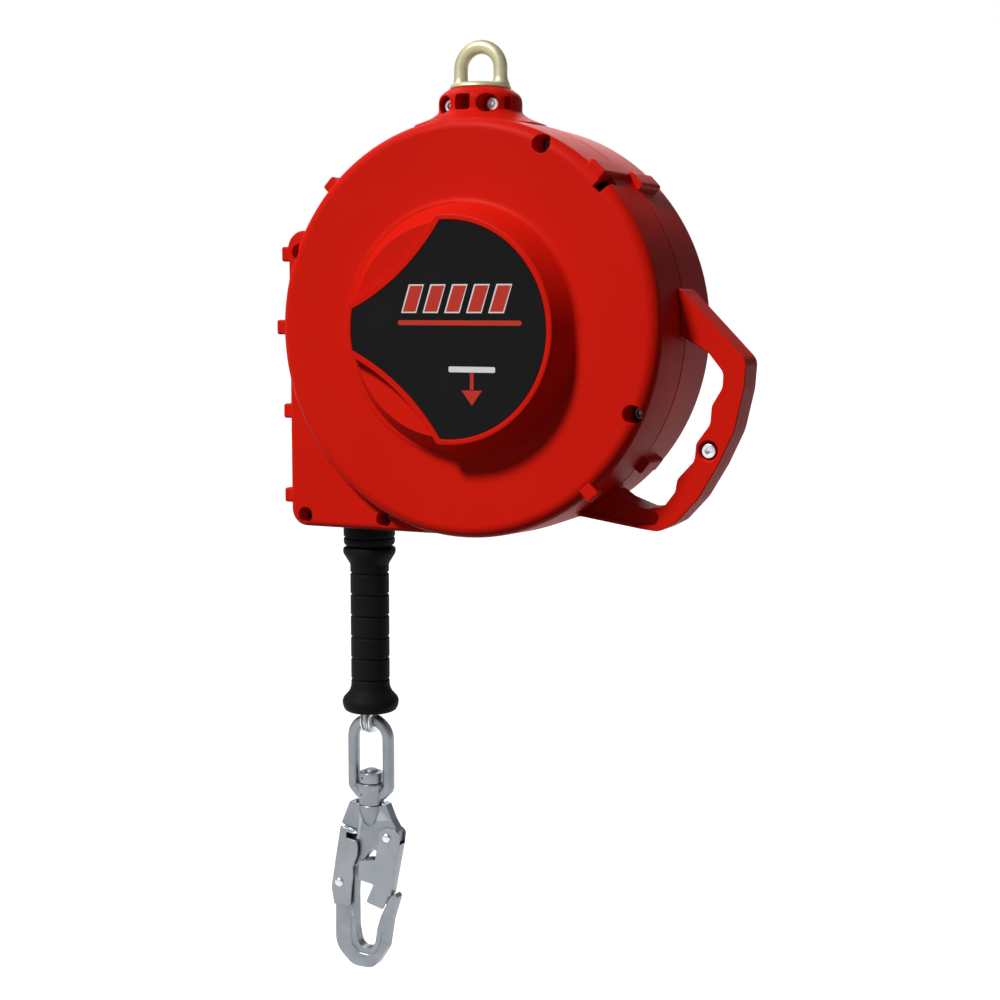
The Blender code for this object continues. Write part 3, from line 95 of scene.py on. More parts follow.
# ---- materials ----------------------------------------------------------------------------------
def procedural(name, colour, other, roughness, metallic=0.0, grain=900, relief=0.02, patch=18,
               stretch=(1, 1, 1), edge=0.0, soften=0.0, worn=None, shine=0.5, ior=1.5):
    """Two tones mixed by soft noise, grain in the roughness and the relief, and worn edges."""
    made = bpy.data.materials.new(name)
    made.use_nodes = True
    nodes, links = made.node_tree.nodes, made.node_tree.links
    shader = nodes["Principled BSDF"]
    shader.inputs["Metallic"].default_value = metallic
    shader.inputs["Specular IOR Level"].default_value = shine
    shader.inputs["IOR"].default_value = ior

    place = nodes.new("ShaderNodeTexCoord")
    mapping = nodes.new("ShaderNodeMapping")
    mapping.inputs["Scale"].default_value = stretch
    links.new(place.outputs["Object"], mapping.inputs["Vector"])

    def noise(scale, detail, source):
        made_noise = nodes.new("ShaderNodeTexNoise")
        made_noise.inputs["Scale"].default_value = scale
        made_noise.inputs["Detail"].default_value = detail
        links.new(source, made_noise.inputs["Vector"])
        return made_noise.outputs["Fac"]

    def between(value, low, high):
        spread = nodes.new("ShaderNodeMapRange")
        spread.inputs["From Min"].default_value = 0.3
        spread.inputs["From Max"].default_value = 0.7
        spread.inputs["To Min"].default_value = low
        spread.inputs["To Max"].default_value = high
        links.new(value, spread.inputs["Value"])
        return spread.outputs["Result"]

    def blend(value, first, second):
        mix = nodes.new("ShaderNodeMix")
        mix.data_type = "RGBA"
        links.new(value, mix.inputs["Factor"])
        for socket, tone in (("A", first), ("B", second)):
            slot = [s for s in mix.inputs if s.name == socket and s.type == "RGBA"][0]
            if isinstance(tone, tuple):
                slot.default_value = (*tone, 1)
            else:
                links.new(tone, slot)
        return [s for s in mix.outputs if s.type == "RGBA"][0]

    patches = noise(patch, 3, place.outputs["Object"])
    grains = noise(grain, 4, mapping.outputs["Vector"])
    tone = blend(between(patches, 0, 1), colour, other)
    if edge:
        sharp = nodes.new("ShaderNodeNewGeometry").outputs["Pointiness"]
        rub = nodes.new("ShaderNodeMapRange")
        rub.inputs["From Min"].default_value = 0.53
        rub.inputs["From Max"].default_value = 0.6
        rub.inputs["To Max"].default_value = edge
        links.new(sharp, rub.inputs["Value"])
        tone = blend(rub.outputs["Result"], tone, worn)
    links.new(tone, shader.inputs["Base Color"])
    links.new(between(grains, roughness - 0.05, roughness + 0.06), shader.inputs["Roughness"])
    bump = nodes.new("ShaderNodeBump")
    bump.inputs["Strength"].default_value = 0.6
    bump.inputs["Distance"].default_value = relief * MM
    links.new(grains, bump.inputs["Height"])
    if soften:
        bevel = nodes.new("ShaderNodeBevel")
        bevel.samples = 4
        bevel.inputs["Radius"].default_value = soften * MM
        links.new(bevel.outputs["Normal"], bump.inputs["Normal"])
    links.new(bump.outputs["Normal"], shader.inputs["Normal"])
    return made


RED = procedural("red_plastic", (0.64, 0.0105, 0.0035), (0.60, 0.0085, 0.003), 0.46, grain=1400,
                 relief=0.015, patch=9, edge=0.25, soften=0.9, worn=(0.70, 0.014, 0.004),
                 shine=0.2, ior=1.22)
BLACK = procedural("label_black", (0.0055, 0.005, 0.005), (0.008, 0.007, 0.007), 0.42, grain=2500,
                   relief=0.004, shine=0.07)
LABEL_RED = procedural("label_red", (0.55, 0.035, 0.018), (0.48, 0.028, 0.015), 0.4, grain=2500,
                       relief=0.004, shine=0.2)
LABEL_WHITE = procedural("label_white", (0.72, 0.72, 0.72), (0.66, 0.66, 0.67), 0.4, grain=2500,
                         relief=0.004)
GREY_LABEL = procedural("label_grey", (0.5, 0.5, 0.48), (0.45, 0.45, 0.44), 0.45, grain=2500,
                        relief=0.004)
RUBBER = procedural("black_rubber", (0.005, 0.005, 0.005), (0.008, 0.008, 0.008), 0.62,
                    grain=1100, relief=0.05, patch=30, edge=0.25, worn=(0.015, 0.015, 0.015),
                    shine=0.06)
YELLOW = procedural("yellow_zinc", (0.52, 0.49, 0.29), (0.60, 0.57, 0.38), 0.5, 0.6, grain=500,
                    relief=0.03, patch=60, edge=0.3, worn=(0.7, 0.67, 0.48))
FORGED = procedural("forged_steel", (0.29, 0.31, 0.335), (0.22, 0.24, 0.265), 0.4, 1.0, grain=700,
                    relief=0.04, patch=70, edge=0.35, soften=0.5, worn=(0.62, 0.65, 0.69))
SHEET = procedural("sheet_steel", (0.30, 0.32, 0.345), (0.25, 0.27, 0.295), 0.34, 1.0, grain=300,
                   relief=0.012, patch=50, stretch=(6, 6, 1), soften=0.4)
ZINC = procedural("zinc_plate", (0.74, 0.75, 0.77), (0.66, 0.67, 0.69), 0.3, 1.0, grain=600,
                  relief=0.01, patch=90, edge=0.3, soften=0.25, worn=(0.85, 0.86, 0.88))
# Zinc darkened to paint the shade inside the deep casing screw recesses: a painted-shade copy of zinc_plate, not a
# different finish.
ZINC_PAINTED_SHADE = procedural("shaded_zinc", (0.20, 0.20, 0.21), (0.14, 0.14, 0.15), 0.4, 1.0,
                         grain=600, relief=0.01, patch=90, edge=0.3, worn=(0.4, 0.4, 0.41))
WIRE = procedural("wire_rope", (0.50, 0.51, 0.53), (0.34, 0.35, 0.37), 0.36, 1.0, grain=1500,
                  relief=0.03, patch=260)
ALUMINIUM = procedural("cast_aluminium", (0.60, 0.61, 0.62), (0.52, 0.53, 0.54), 0.45, 1.0,
                       grain=900, relief=0.05, patch=40, soften=0.4)
SPRING = procedural("spring_steel", (0.13, 0.15, 0.20), (0.18, 0.18, 0.20), 0.3, 1.0, grain=400,
                    relief=0.01, patch=60, stretch=(1, 1, 4))
BRONZE = procedural("bronze", (0.50, 0.32, 0.13), (0.42, 0.27, 0.12), 0.42, 1.0, grain=1600,
                    relief=0.03, patch=120)
LINING = procedural("friction_lining", (0.09, 0.07, 0.05), (0.14, 0.12, 0.10), 0.85, grain=1300,
                    relief=0.08, patch=300)
FINISH = {"red_plastic": RED, "label_black": BLACK, "label_grey": GREY_LABEL,
          "black_rubber": RUBBER, "yellow_zinc": YELLOW, "forged_steel": FORGED,
          "sheet_steel": SHEET, "zinc_plate": ZINC, "wire_rope": WIRE,
          "cast_aluminium": ALUMINIUM, "spring_steel": SPRING, "bronze": BRONZE,
          "friction_lining": LINING}


# ---- outlines, in millimetres -------------------------------------------------------------------
def rounded(corners, steps=8):
    """Outline through corners (x, y, radius), each turned into an arc of its radius."""
    points = []
    for index, (x, y, radius) in enumerate(corners):
        here = Vector((x, y))
        before = Vector(corners[index - 1][:2]) - here
        after = Vector(corners[(index + 1) % len(corners)][:2]) - here
        if radius == 0:
            points.append((x, y))
            continue
        before.normalize()
        after.normalize()
        half = acos(max(-1.0, min(1.0, before.dot(after)))) / 2
        centre = here + (before + after).normalized() * (radius / sin(half))
        start = here + before * (radius / tan(half)) - centre
        side = 1 if before.x * after.y - before.y * after.x < 0 else -1
        for step in range(steps + 1):
            angle = side * (pi - 2 * half) * step / steps
            points.append((centre.x + start.x * cos(angle) - start.y * sin(angle),
                           centre.y + start.x * sin(angle) + start.y * cos(angle)))
    return points


def arc(centre, radius, start, end, steps):
    """Points on an arc, angles in degrees."""
    angles = [radians(start + (end - start) * step / steps) for step in range(steps + 1)]
    return [(centre[0] + radius * cos(angle), centre[1] + radius * sin(angle)) for angle in angles]


def box_outline(x0, y0, x1, y1, radius=0):
    return rounded([(x0, y0, radius), (x1, y0, radius), (x1, y1, radius), (x0, y1, radius)], 6)


# ---- solids -------------------------------------------------------------------------------------
def solid(vertices, faces, at):
    """A mesh object from points in millimetres, in the frame given by at."""
    mesh = bpy.data.meshes.new("solid")
    mesh.from_pydata([at @ (Vector(point) * MM) for point in vertices], [], faces)
    shape = bmesh.new()
    shape.from_mesh(mesh)
    bmesh.ops.recalc_face_normals(shape, faces=shape.faces)
    shape.to_mesh(mesh)
    shape.free()
    made = bpy.data.objects.new("solid", mesh)
    bpy.context.scene.collection.objects.link(made)
    return made


def turned(profile, at, steps=None, closed=False):
    """A profile of (radius, height) turned about z, listed down its outer side."""
    steps = steps or ROUND
    vertices, rows, faces = [], [], []
    for radius, height in profile:
        if radius == 0:
            rows.append([len(vertices)])
            vertices.append((0, 0, height))
            continue
        rows.append(list(range(len(vertices), len(vertices) + steps)))
        vertices += [(radius * cos(2 * pi * step / steps), radius * sin(2 * pi * step / steps),
                      height) for step in range(steps)]
    pairs = list(zip(rows, rows[1:]))
    if closed:
        pairs.append((rows[-1], rows[0]))
    for upper, lower in pairs:
        for step in range(steps):
            after = (step + 1) % steps
            if len(upper) == 1:
                faces.append((upper[0], lower[step], lower[after]))
            elif len(lower) == 1:
                faces.append((upper[step], lower[0], upper[after]))
            else:
                faces.append((upper[step], lower[step], lower[after], upper[after]))
    return solid(vertices, faces, at)


def rod(radius, low, high, at, x=0, y=0, steps=None):
    move = Matrix.Translation((x * MM, y * MM, 0))
    return turned([(0, high), (radius, high), (radius, low), (0, low)], at @ move, steps)


def prism(outline, low, high, at, slope=None):
    """A flat outline between two heights, or up from the heights that slope(x, y) gives."""
    count = len(outline)
    floor = [(x, y, slope(x, y) if slope else low) for x, y in outline]
    vertices = floor + [(x, y, high) for x, y in outline]
    faces = [tuple(range(count))[::-1], tuple(range(count, 2 * count))]
    faces += [(i, (i + 1) % count, count + (i + 1) % count, count + i) for i in range(count)]
    return solid(vertices, faces, at)


def sweep(points, section, closed=False, at=Matrix.Identity(4)):
    """A closed section (across, beside) carried along points without twisting."""
    path = [Vector(point) for point in points]
    count = len(path)
    rows, vertices, faces = [], [], []
    side = None
    for index, here in enumerate(path):
        ahead = path[(index + 1) % count] if closed or index + 1 < count else here
        behind = path[index - 1] if closed or index else here
        along = (ahead - behind).normalized()
        if side is None:
            side = along.orthogonal().normalized()
            if abs(along.y) < 0.5:
                side = Vector((0, 1, 0))
        side = (side - along * side.dot(along)).normalized()
        up = along.cross(side)
        rows.append(list(range(len(vertices), len(vertices) + len(section))))
        vertices += [here + side * a + up * b for a, b in section]
    pairs = list(zip(rows, rows[1:]))
    if closed:
        pairs.append((rows[-1], rows[0]))
    else:
        faces += [tuple(rows[0][::-1]), tuple(rows[-1])]
    size = len(section)
    for low, high in pairs:
        faces += [(low[i], low[(i + 1) % size], high[(i + 1) % size], high[i])
                  for i in range(size)]
    return solid(vertices, faces, at)


def circle(radius, steps=16):
    return arc((0, 0), radius, 0, 360, steps)[:-1]


def soften(made, width, segments=None, angle=32):
    bevel = made.modifiers.new("soften", "BEVEL")
    bevel.width = width * MM
    bevel.segments = segments or SEGMENTS
    bevel.limit_method = "ANGLE"
    bevel.angle_limit = radians(angle)
    settle(made)
    return made


def settle(made):
    """Turns the object's modifiers into its mesh."""
    bpy.context.view_layer.update()
    graph = bpy.context.evaluated_depsgraph_get()
    mesh = bpy.data.meshes.new_from_object(made.evaluated_get(graph))
    made.modifiers.clear()
    made.data = mesh
    return made


def combine(made, others, operation, solver="MANIFOLD"):
    for other in others:
        change = made.modifiers.new(operation.lower(), "BOOLEAN")
        change.operation = operation
        change.solver = solver
        change.object = other
    settle(made)
    for other in others:
        bpy.data.objects.remove(other, do_unlink=True)
    return made


def join(made, *others):
    return combine(made, others, "UNION")


def cut(made, *others):
    return combine(made, others, "DIFFERENCE")


def keep(made, *others):
    return combine(made, others, "INTERSECT")


def merge(parts):
    """Several solids as one object, left as they are."""
    shape = bmesh.new()
    for part in parts:
        shape.from_mesh(part.data)
    first = parts[0]
    shape.to_mesh(first.data)
    shape.free()
    for part in parts[1:]:
        bpy.data.objects.remove(part, do_unlink=True)
    return first


def piece(made, name, body, finish, stands_for=(), angle=34, weighted=True):
    """Names a finished solid, gives it its material and lets it ride on its CAD body."""
    made.name = name
    made.data.name = name
    made.data.materials.clear()
    made.data.materials.append(finish)
    for polygon in made.data.polygons:
        polygon.material_index = 0
    made.data.shade_smooth()
    made.data.set_sharp_from_angle(angle=radians(angle))
    if weighted:
        normals = made.modifiers.new("even_shading", "WEIGHTED_NORMAL")
        normals.keep_sharp = True
        normals.weight = 80
    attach(made, body)
    if stands_for:
        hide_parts(*stands_for)
    return made


# ---- casing shells ------------------------------------------------------------------------------
def shell_skin(side):
    """Outer skin of one shell, from the boss top down past the parting plane."""
    depth, fillet, boss = DEPTH[side], FILLET[side], BOSS[side]
    steps = 12
    return [
        (0, boss),
        *arc((BOSS_TOP - 1.8, boss - 1.8), 1.8, 90, 20, 4),
        (BOSS_FOOT - 0.6, depth + 3.4), (BOSS_FOOT + 0.2, depth + 1.9), (BOSS_FOOT + 1.6, depth + 0.7),
        (BOSS_FOOT + 3.6, depth + 0.1), (BOSS_FOOT + 5.5, depth),
        *arc((EDGE_R[side] - fillet, depth - fillet), fillet, 90, 4, steps),
        (WALL_R, 1.2), (WALL_R - 0.7, 0), (WALL_R - 0.7, -6), (0, -6),
    ]


def shell_hollow(side):
    """Inside of one shell, one wall in from its skin."""
    depth, boss = DEPTH[side], BOSS[side]
    return [
        (0, boss - WALL - 1.2), (BOSS_TOP - WALL - 4, boss - WALL - 1.2),
        (BOSS_FOOT - WALL, depth - WALL), (EDGE_R[side] - WALL - 5, depth - WALL),
        (EDGE_R[side] - WALL, depth - WALL - 5), (WALL_R - WALL, 0), (WALL_R - WALL, -12), (0, -12),
    ]


def across(side, outline):
    """The rear shell's local x runs the other way."""
    return [(side * x, y) for x, y in outline][::side]


def block_outline(inset):
    left, bottom, top, depth, corner = BLOCK
    radius = corner - inset
    return rounded([(left + inset, top - inset, 0), (left + inset, bottom + inset, radius),
                    (-8 - inset, bottom + inset, 0), (-8 - inset, -100, 0),
                    (-100, top - inset, 0)])


def bite_slope(upper):
    """The step's floor rises from the left point of the boss towards its other end."""
    def height(x, y):
        along = (x + 80) * 0.77 + (upper * y - 14) * 0.64
        return BITE_FLOOR + BITE_RISE * along / BITE_LENGTH
    return height


def bite(upper, radius, floor=None):
    """What an arc takes off the boss, above a level floor or above the sloping one."""
    ring = [(BITE_CENTRE[0] + x, upper * BITE_CENTRE[1] + y)
            for x, y in circle(radius, 360)]
    near = [point for point in ring if point[0] ** 2 + point[1] ** 2 < 112 ** 2]
    near.sort(key=lambda point: point[0] * 0.75 + upper * point[1] * 0.66)
    outside = [(near[-1][0] + 2, near[-1][1] + upper * 60), (near[0][0] - 60, near[0][1] + upper * 60),
               (near[0][0] - 60, near[0][1])]
    outline = near + outside
    if floor is not None:
        return prism(outline, floor, 90, DRUM)
    return prism(outline, 0, 90, DRUM, bite_slope(upper))


def boss_shoulder(upper):
    """What is taken off beside a bite, so that its floor runs down in an even slope."""
    ring = turned([(72, 90), (104, 90), (104, 51), (88.4, 51), (79.5, 63.5), (72, 74)], DRUM, TURN,
                  True)
    return keep(ring, bite(upper, BITE_R - 0.4, 50.4))


def neck(side):
    """Half of the neck under the eye: a foot, a bulge round the bolts and a narrower top."""
    top = 172.7
    skin = turned([
        (0, top), (21.8, top), (22.4, top - 0.3), (24, 171.7), (25.5, 170.6), (27.2, 169.3),
        (28.5, 168.2), (29.5, 166.7), (30.1, 165), (30.4, 163.4), (30.5, 162), (30.4, 156.7),
        (30.9, 155.4), (32, 154.3), (34.5, 152.4), (37.6, 150.7), (40.8, 149.3), (44.4, 147.9),
        (48, 146.5), (49.5, 143.5), (49.5, 136.5), (0, 136.5)], ANCHOR, ROUND * 2)
    for x in (-NECK_BOLT[0], NECK_BOLT[0]):
        spot = ANCHOR @ Matrix.Translation((x * MM, 0, NECK_BOLT[1] * MM)) @ FRONT
        cut(skin, rod(SCREW_HOLE, -16, 20, spot, steps=24))
        if side > 0:
            cut(skin, soften(rod(6.6, NECK_BOLT[2], 60, spot, steps=ROUND), 0.4, 2))
    window = box_outline(-5.7, 155.8, 5.7, 167, 2)
    cut(skin, soften(prism(window, 13, 60, ANCHOR @ FRONT @ Matrix.Rotation(0 if side > 0 else pi,
                                                                            4, "Y")), 0.8, 2))
    for angle in (-24, 24, 156, 204):
        spot = ANCHOR @ Matrix.Rotation(radians(angle), 4, "Z") @ Matrix.Rotation(pi / 2, 4, "Z") \
            @ FRONT
        cut(skin, soften(prism(box_outline(-3.2, 156.3, 3.2, 165.3, 1.6), -60, -26.6, spot), 0.6, 2))
    return skin


def label_seat(side):
    """Shallow recess for the label, which leaves a rim round it and along the bites."""
    at = DRUM if side > 0 else DRUM_REAR
    low, rim = BOSS[side] - 1.2, LABEL_R + 0.3
    made = turned([(0, 90), (rim + 0.4, 90), (rim + 0.4, BOSS[side]), (rim, BOSS[side] - 0.4),
                   (rim, low), (0, low)], at, TURN)
    if side > 0:
        cut(made, bite(1, LABEL_BITE_R - 0.3, 60), bite(-1, LABEL_BITE_R - 0.3, 60))
    return made


def beyond_parting(at):
    """Everything past the parting plane of a half, which leaves a hairline joint."""
    return prism(box_outline(-FAR, -FAR, FAR, FAR), -100, 0.15, at)


def lug(side, x0, x1, width, depth, angle, up=0, round_edge=1.6):
    """Block across the casing's wall, at an angle round the drum axis."""
    low, high = sorted((-side * 5, side * depth))
    at = DRUM @ Matrix.Rotation(radians(angle), 4, "Z")
    made = prism(box_outline(x0, up - width / 2, x1, up + width / 2), low, high, at)
    return soften(made, round_edge)


def shell(side, name, node):
    """One casing shell: its skin, corner, ear, neck and lugs, hollowed and cut."""
    at = DRUM if side > 0 else DRUM_REAR
    depth, boss = DEPTH[side], BOSS[side]
    made = turned(shell_skin(side), at, TURN)
    corner = prism(across(side, block_outline(0)), -7, BLOCK[3], at)
    ear = turned([(0, 38), (11.6, 38), (13, 37.3), (13.6, 36), (13.6, -8), (0, -8)],
                 at @ Matrix.Translation((side * EAR[0] * MM, EAR[1] * MM, 0)))
    join(made, soften(corner, 4.5), ear, neck(side))
    for up, reach in LEFT_LUGS:
        join(made, lug(side, -reach, BLOCK[0] + 8, 11, BLOCK[3] - 0.4, 0, up))
    for angle, reach in DRUM_LUGS[side]:
        join(made, lug(side, WALL_R - 7, WALL_R + 5.5, 11, reach, angle))
    if side > 0:
        join(made, lug(side, WALL_R - 12, WALL_R + 2.5, 14, 48, 47))
        join(made, soften(prism(box_outline(EDGE_R[1] - 6, -5, EDGE_R[1] + 5, 5), depth - 9, depth - 0.6,
                                DRUM @ Matrix.Rotation(radians(-48.5), 4, "Z")), 1.2))
    else:
        join(made, lug(side, WALL_R - 12, WALL_R + 5, 14, 40, 43, 0, 3))
    hollow = turned(shell_hollow(side), at, TURN)
    inner = prism(across(side, block_outline(WALL)), -9, BLOCK[3] - WALL, at)
    join(hollow, inner)
    for x, y, _, _ in SCREWS:
        cut(hollow, rod(SCREW_POST, -80, 80, DRUM, x, y, 24))
    if side > 0:
        for upper in (1, -1):
            cut(hollow, bite(upper, BITE_R + WALL + 3, 58))
    cut(made, hollow, beyond_parting(at), label_seat(side))
    if side > 0:
        cut(made, bite(1, BITE_R), bite(-1, BITE_R))
        cut(made, boss_shoulder(1), boss_shoulder(-1))
        cut(made, prism(box_outline(WALL_R - 11, -14, WALL_R + 9, -7), 33, 51,
                        DRUM @ Matrix.Rotation(radians(47), 4, "Z")))
        for x, y, seat, radius in SCREWS:
            cut(made, rod(radius, seat, 80, DRUM, x, y, ROUND))
    for x, y, seat, _ in SCREWS:
        cut(made, rod(SCREW_HOLE, seat - 46, seat + 1, DRUM, x, y, 24))
    cut(made, rod(STEM_HOLE, 110, 180, ANCHOR), rod(OUTLET, -160, -140, LINE))
    return piece(made, name, "housing", RED, [node])


shell(1, "casing_front", "front_housing")
shell(-1, "casing_rear", "rear_housing")


# ---- fasteners ----------------------------------------------------------------------------------
def cap_screw(name, node, at, length, finish=ZINC):
    """Socket head cap screw with its seat at z = 0."""
    made = turned([(0, 6), (4.3, 6), (4.8, 5.75), (5, 5.3), (5, 0.3), (3, 0.3), (3, -length),
                   (0, -length)], at, ROUND)
    cut(made, turned([(0, 8), (2.9, 8), (2.9, 2.6), (0, 1.4)], at, 6))
    return piece(made, name, "housing", finish, [node])


# The casing screws take the darkened zinc, painted shade for their deep recesses.
for index, (x, y, seat, _) in enumerate(SCREWS):
    cap_screw(f"casing_screw_{index + 1}", f"housing_screw_{index + 1}",
              DRUM @ Matrix.Translation((x * MM, y * MM, seat * MM)), 44, ZINC_PAINTED_SHADE)
for index, x in enumerate((-NECK_BOLT[0], NECK_BOLT[0])):
    cap_screw(f"neck_screw_{index + 1}", f"neck_bolt_{index + 1}",
              ANCHOR @ Matrix.Translation((x * MM, -NECK_BOLT[2] * MM, NECK_BOLT[1] * MM)) @ FRONT, 24)

# ---- front label, with a plain wordless pictogram -----------------------------------------------
def label_disc(side):
    top = LABEL_TOP[side]
    return turned([(0, top), (LABEL_R - 0.15, top), (LABEL_R, top - 0.15), (LABEL_R, top - 0.5),
                   (0, top - 0.5)], DRUM if side > 0 else DRUM_REAR, TURN)


label = label_disc(1)
cut(label, bite(1, LABEL_BITE_R, 60), bite(-1, LABEL_BITE_R, 60))
piece(label, "label_plate", "housing", BLACK, ["front_label"])


def print_on(outlines, name, finish, layer=0, side=1):
    """Printed shapes, as a film on the front label (side 1) or the rear one (side -1)."""
    at, slot = (DRUM, "label_black") if side > 0 else (DRUM_REAR, "label_grey")
    low = LABEL_TOP[side] + 0.02 + 0.06 * layer
    films = [prism(outline, low, low + 0.05, at) for outline in outlines]
    return piece(merge(films), name, "housing", finish, weighted=False)


def slanted(x, y, width, height, lean, grow=0):
    """Outline of a bar that leans to the right, grown by the same amount all round."""
    foot = x - lean * grow / height
    return [(foot - grow, y - grow), (foot + width + grow, y - grow),
            (x + width + grow + lean, y + height + grow), (x - grow + lean, y + height + grow)]


bars = [(-34 + 17 * step, 13) for step in range(5)]
print_on([slanted(x, y, 10, 18, 6, 1.0) for x, y in bars], "label_bar_edges", LABEL_WHITE)
print_on([slanted(x, y, 10, 18, 6) for x, y in bars], "label_bars", LABEL_RED, 1)
print_on([box_outline(-38, 3.5, 58, 7.0, 1.7)], "label_rule", LABEL_RED)
pictogram = [rounded([(2, -25, 1), (38, -25, 1), (38, -29, 1), (2, -29, 1)], 3),
             rounded([(18.6, -29.5, 0), (21.4, -29.5, 0), (21.4, -41, 0), (18.6, -41, 0)], 1),
             [(12, -41.5), (28, -41.5), (20, -52)]]
print_on([pictogram[0]], "label_anchor_bar", LABEL_WHITE)
print_on([pictogram[1], pictogram[2][::-1]], "label_arrow", LABEL_RED)

piece(label_disc(-1), "rear_label_plate", "housing", GREY_LABEL, ["rear_label"])
print_on([box_outline(-36, 24, 36, 34, 2)], "rear_label_heading", LABEL_RED, side=-1)
print_on([box_outline(-36, y, 36, y + 1.2, 0.5) for y in (-32, -22, -12, -2, 8, 18)],
         "rear_label_rules", BLACK, side=-1)

# ---- carrying handle ----------------------------------------------------------------------------
GRIP_EDGE = [
    (146, -1, 0), (155, -6, 5), (171, -15, 9), (182, -28.5, 8), (181.5, -39, 9), (174, -51.5, 7),
    (173, -64.5, 8), (163, -78, 7), (162, -90, 8), (149.5, -103.5, 7), (148, -112.5, 6),
    (140, -123, 6), (127, -126, 10), (109, -119.5, 6), (100, -113.5, 0),
]
OUTER_EDGE = [
    (62, -127, 0), (70, -132.5, 0), (122, -140, 20), (136, -141.5, 12), (149, -134.5, 14),
    (165, -117, 30), (179, -93.5, 40), (190.5, -69, 40), (197, -40, 20), (198.5, -20, 10),
    (178, 1, 10), (151.5, 28, 3), (140, 32, 0),
]
GRIP_SCREW = (172, -83, 3.5)
ARM_POCKET = [
    (66, -128, 0), (97, -115, 1), (108, -122.3, 4), (127, -128.8, 6), (138, -127, 3),
    (134, -137, 4), (121, -137.3, 8), (74, -130.4, 0),
]


def handle(side, name, node):
    """One half of the handle, which ends against the casing's wall."""
    at = DRUM if side > 0 else DRUM_REAR
    thick = 10 if side > 0 else 17
    half = soften(prism(across(side, rounded(GRIP_EDGE + OUTER_EDGE, 6)), -12, thick, at), 4.6,
                  SEGMENTS + 1)
    cut(half, beyond_parting(at))
    seat = turned([(0, 100), (WALL_R + 2.3, 100), (WALL_R + 0.3, 0), (WALL_R + 0.3, -3), (0, -3)],
                  at, TURN)
    pocket = soften(prism(across(side, rounded(ARM_POCKET, 5)), thick - 6, 50, at), 1, 2)
    spot = at @ Matrix.Translation((side * GRIP_SCREW[0] * MM, GRIP_SCREW[1] * MM, 0))
    floor = GRIP_SCREW[2] if side > 0 else 10
    bore = turned([(0, 50), (7.6, 50), (7.6, thick - 0.05), (6.7, thick - 0.9), (6.6, floor),
                   (SCREW_HOLE, floor), (SCREW_HOLE, -5), (0, -5)], spot)
    cut(half, seat, pocket, bore)
    return piece(half, name, "housing", RED, [node])


handle(1, "handle_front_half", "handle_front")
handle(-1, "handle_rear_half", "handle_rear")
cap_screw("grip_screw", "handle_screw",
          DRUM @ Matrix.Translation(Vector(GRIP_SCREW) * MM), 18.5)

# ---- anchor eye ---------------------------------------------------------------------------------
eye = turned([(0, 176.6), (19.4, 176.6), (20.4, 176.2), (21.4, 175.4), (22.1, 174.5), (22.3, 173.6),
              (21.9, 173), (7.5, 173), (7.5, 113), (0, 113)], ANCHOR, ROUND * 2)
legs = [(-EYE_R, 0, 174.5)]
legs += [(x, 0, z) for x, z in arc((0, 187.1), EYE_R, 180, 0, 60)]
legs += [(EYE_R, 0, 174.5)]
bow = sweep(legs, circle(EYE_BAR, ROUND), at=ANCHOR)
join(eye, bow)
for x in (-EYE_R, EYE_R):
    foot = turned([(0, 185), (4.9, 185), (5.05, 180.8), (5.4, 178.9), (6.1, 177.6), (7, 176.9),
                   (8, 176.5), (8, 175), (0, 175)],
                  ANCHOR @ Matrix.Translation((x * MM, 0, 0)), ROUND)
    inside = turned([(0, 190), (21.3, 190), (21.3, 174), (0, 174)], ANCHOR, ROUND * 2)
    join(eye, keep(foot, inside))
piece(eye, "anchor_ring", "anchor", YELLOW, ["anchor_eye"])

# ---- nozzle and grip ----------------------------------------------------------------------------
nozzle = turned([
    (19.8, -142.3), (19.8, -144.9), (16.8, -144.9), (16.8, -149.5), (19.2, -149.5), (19.8, -150.1),
    (19.8, -158), (19.2, -158.5), (18.9, -159.2), (19.2, -159.9), (19.7, -160.4), (19.6, -163.4),
    (18.8, -165), (17.3, -165.9), (16.8, -166), (6, -166), (3.4, -161), (3.4, -150), (7, -142.3)],
    LINE, ROUND * 2, True)
piece(nozzle, "nozzle_rubber", "housing", RUBBER, ["cable_nozzle"])

grip_skin = [(18.6, -167), (19.7, -167.5), (20.2, -168.6), (20.2, -170.6), (19.8, -172.1),
             (17.6, -175.7), (16.2, -178), (15.3, -179.6), (14.9, -181)]
for groove in range(6):
    middle = -187 - groove * 16.6
    grip_skin += [(14.9, middle + 1.5), (14.65, middle + 0.9), (13.7, middle + 0.25),
                  (13.7, middle - 0.25), (14.65, middle - 0.9), (14.9, middle - 1.5)]
grip_skin += [(14.9, -274), (15.4, -277), (16.6, -279.6), (17.6, -280.9), (19.5, -282.9),
              (20.9, -284.6), (21.6, -286.3), (21.8, -287.9), (21.6, -289.8), (21, -292),
              (19.9, -294), (18.3, -295), (13, -295), (12.5, -284), (9, -275), (9, -228),
              (6, -220), (3, -212), (3, -172), (6, -167)]
piece(turned(grip_skin, LINE, ROUND * 2, True), "grip_rubber", "lifeline", RUBBER,
      ["grip"])

# ---- wire rope lead, ferrule and thimble --------------------------------------------------------
PIVOT = (link_at.z - drum_at.z) / MM
lead = [(0, 0, 95), (0, 0, 60), (0, 0, 0), (0, 0, -100), (0, 0, -150), (0, 0, -215), (0, -1.35, -226),
        (0, -2.7, -234), (0, -2.7, -274)]
lead += [(0, y, z) for y, z in arc((0, PIVOT), 8.8, 160, 380, 14)]
lead += [(0, 2.7, -274), (0, 2.7, -236.3)]


def resample(points, spacing):
    """Points at an even spacing along a polyline."""
    path = [Vector(point) for point in points]
    even, left = [path[0].copy()], spacing
    for start, end in zip(path, path[1:]):
        length = (end - start).length
        position = left
        while position < length:
            even.append(start.lerp(end, position / length))
            position += spacing
        left = position - length
    even.append(path[-1])
    return even


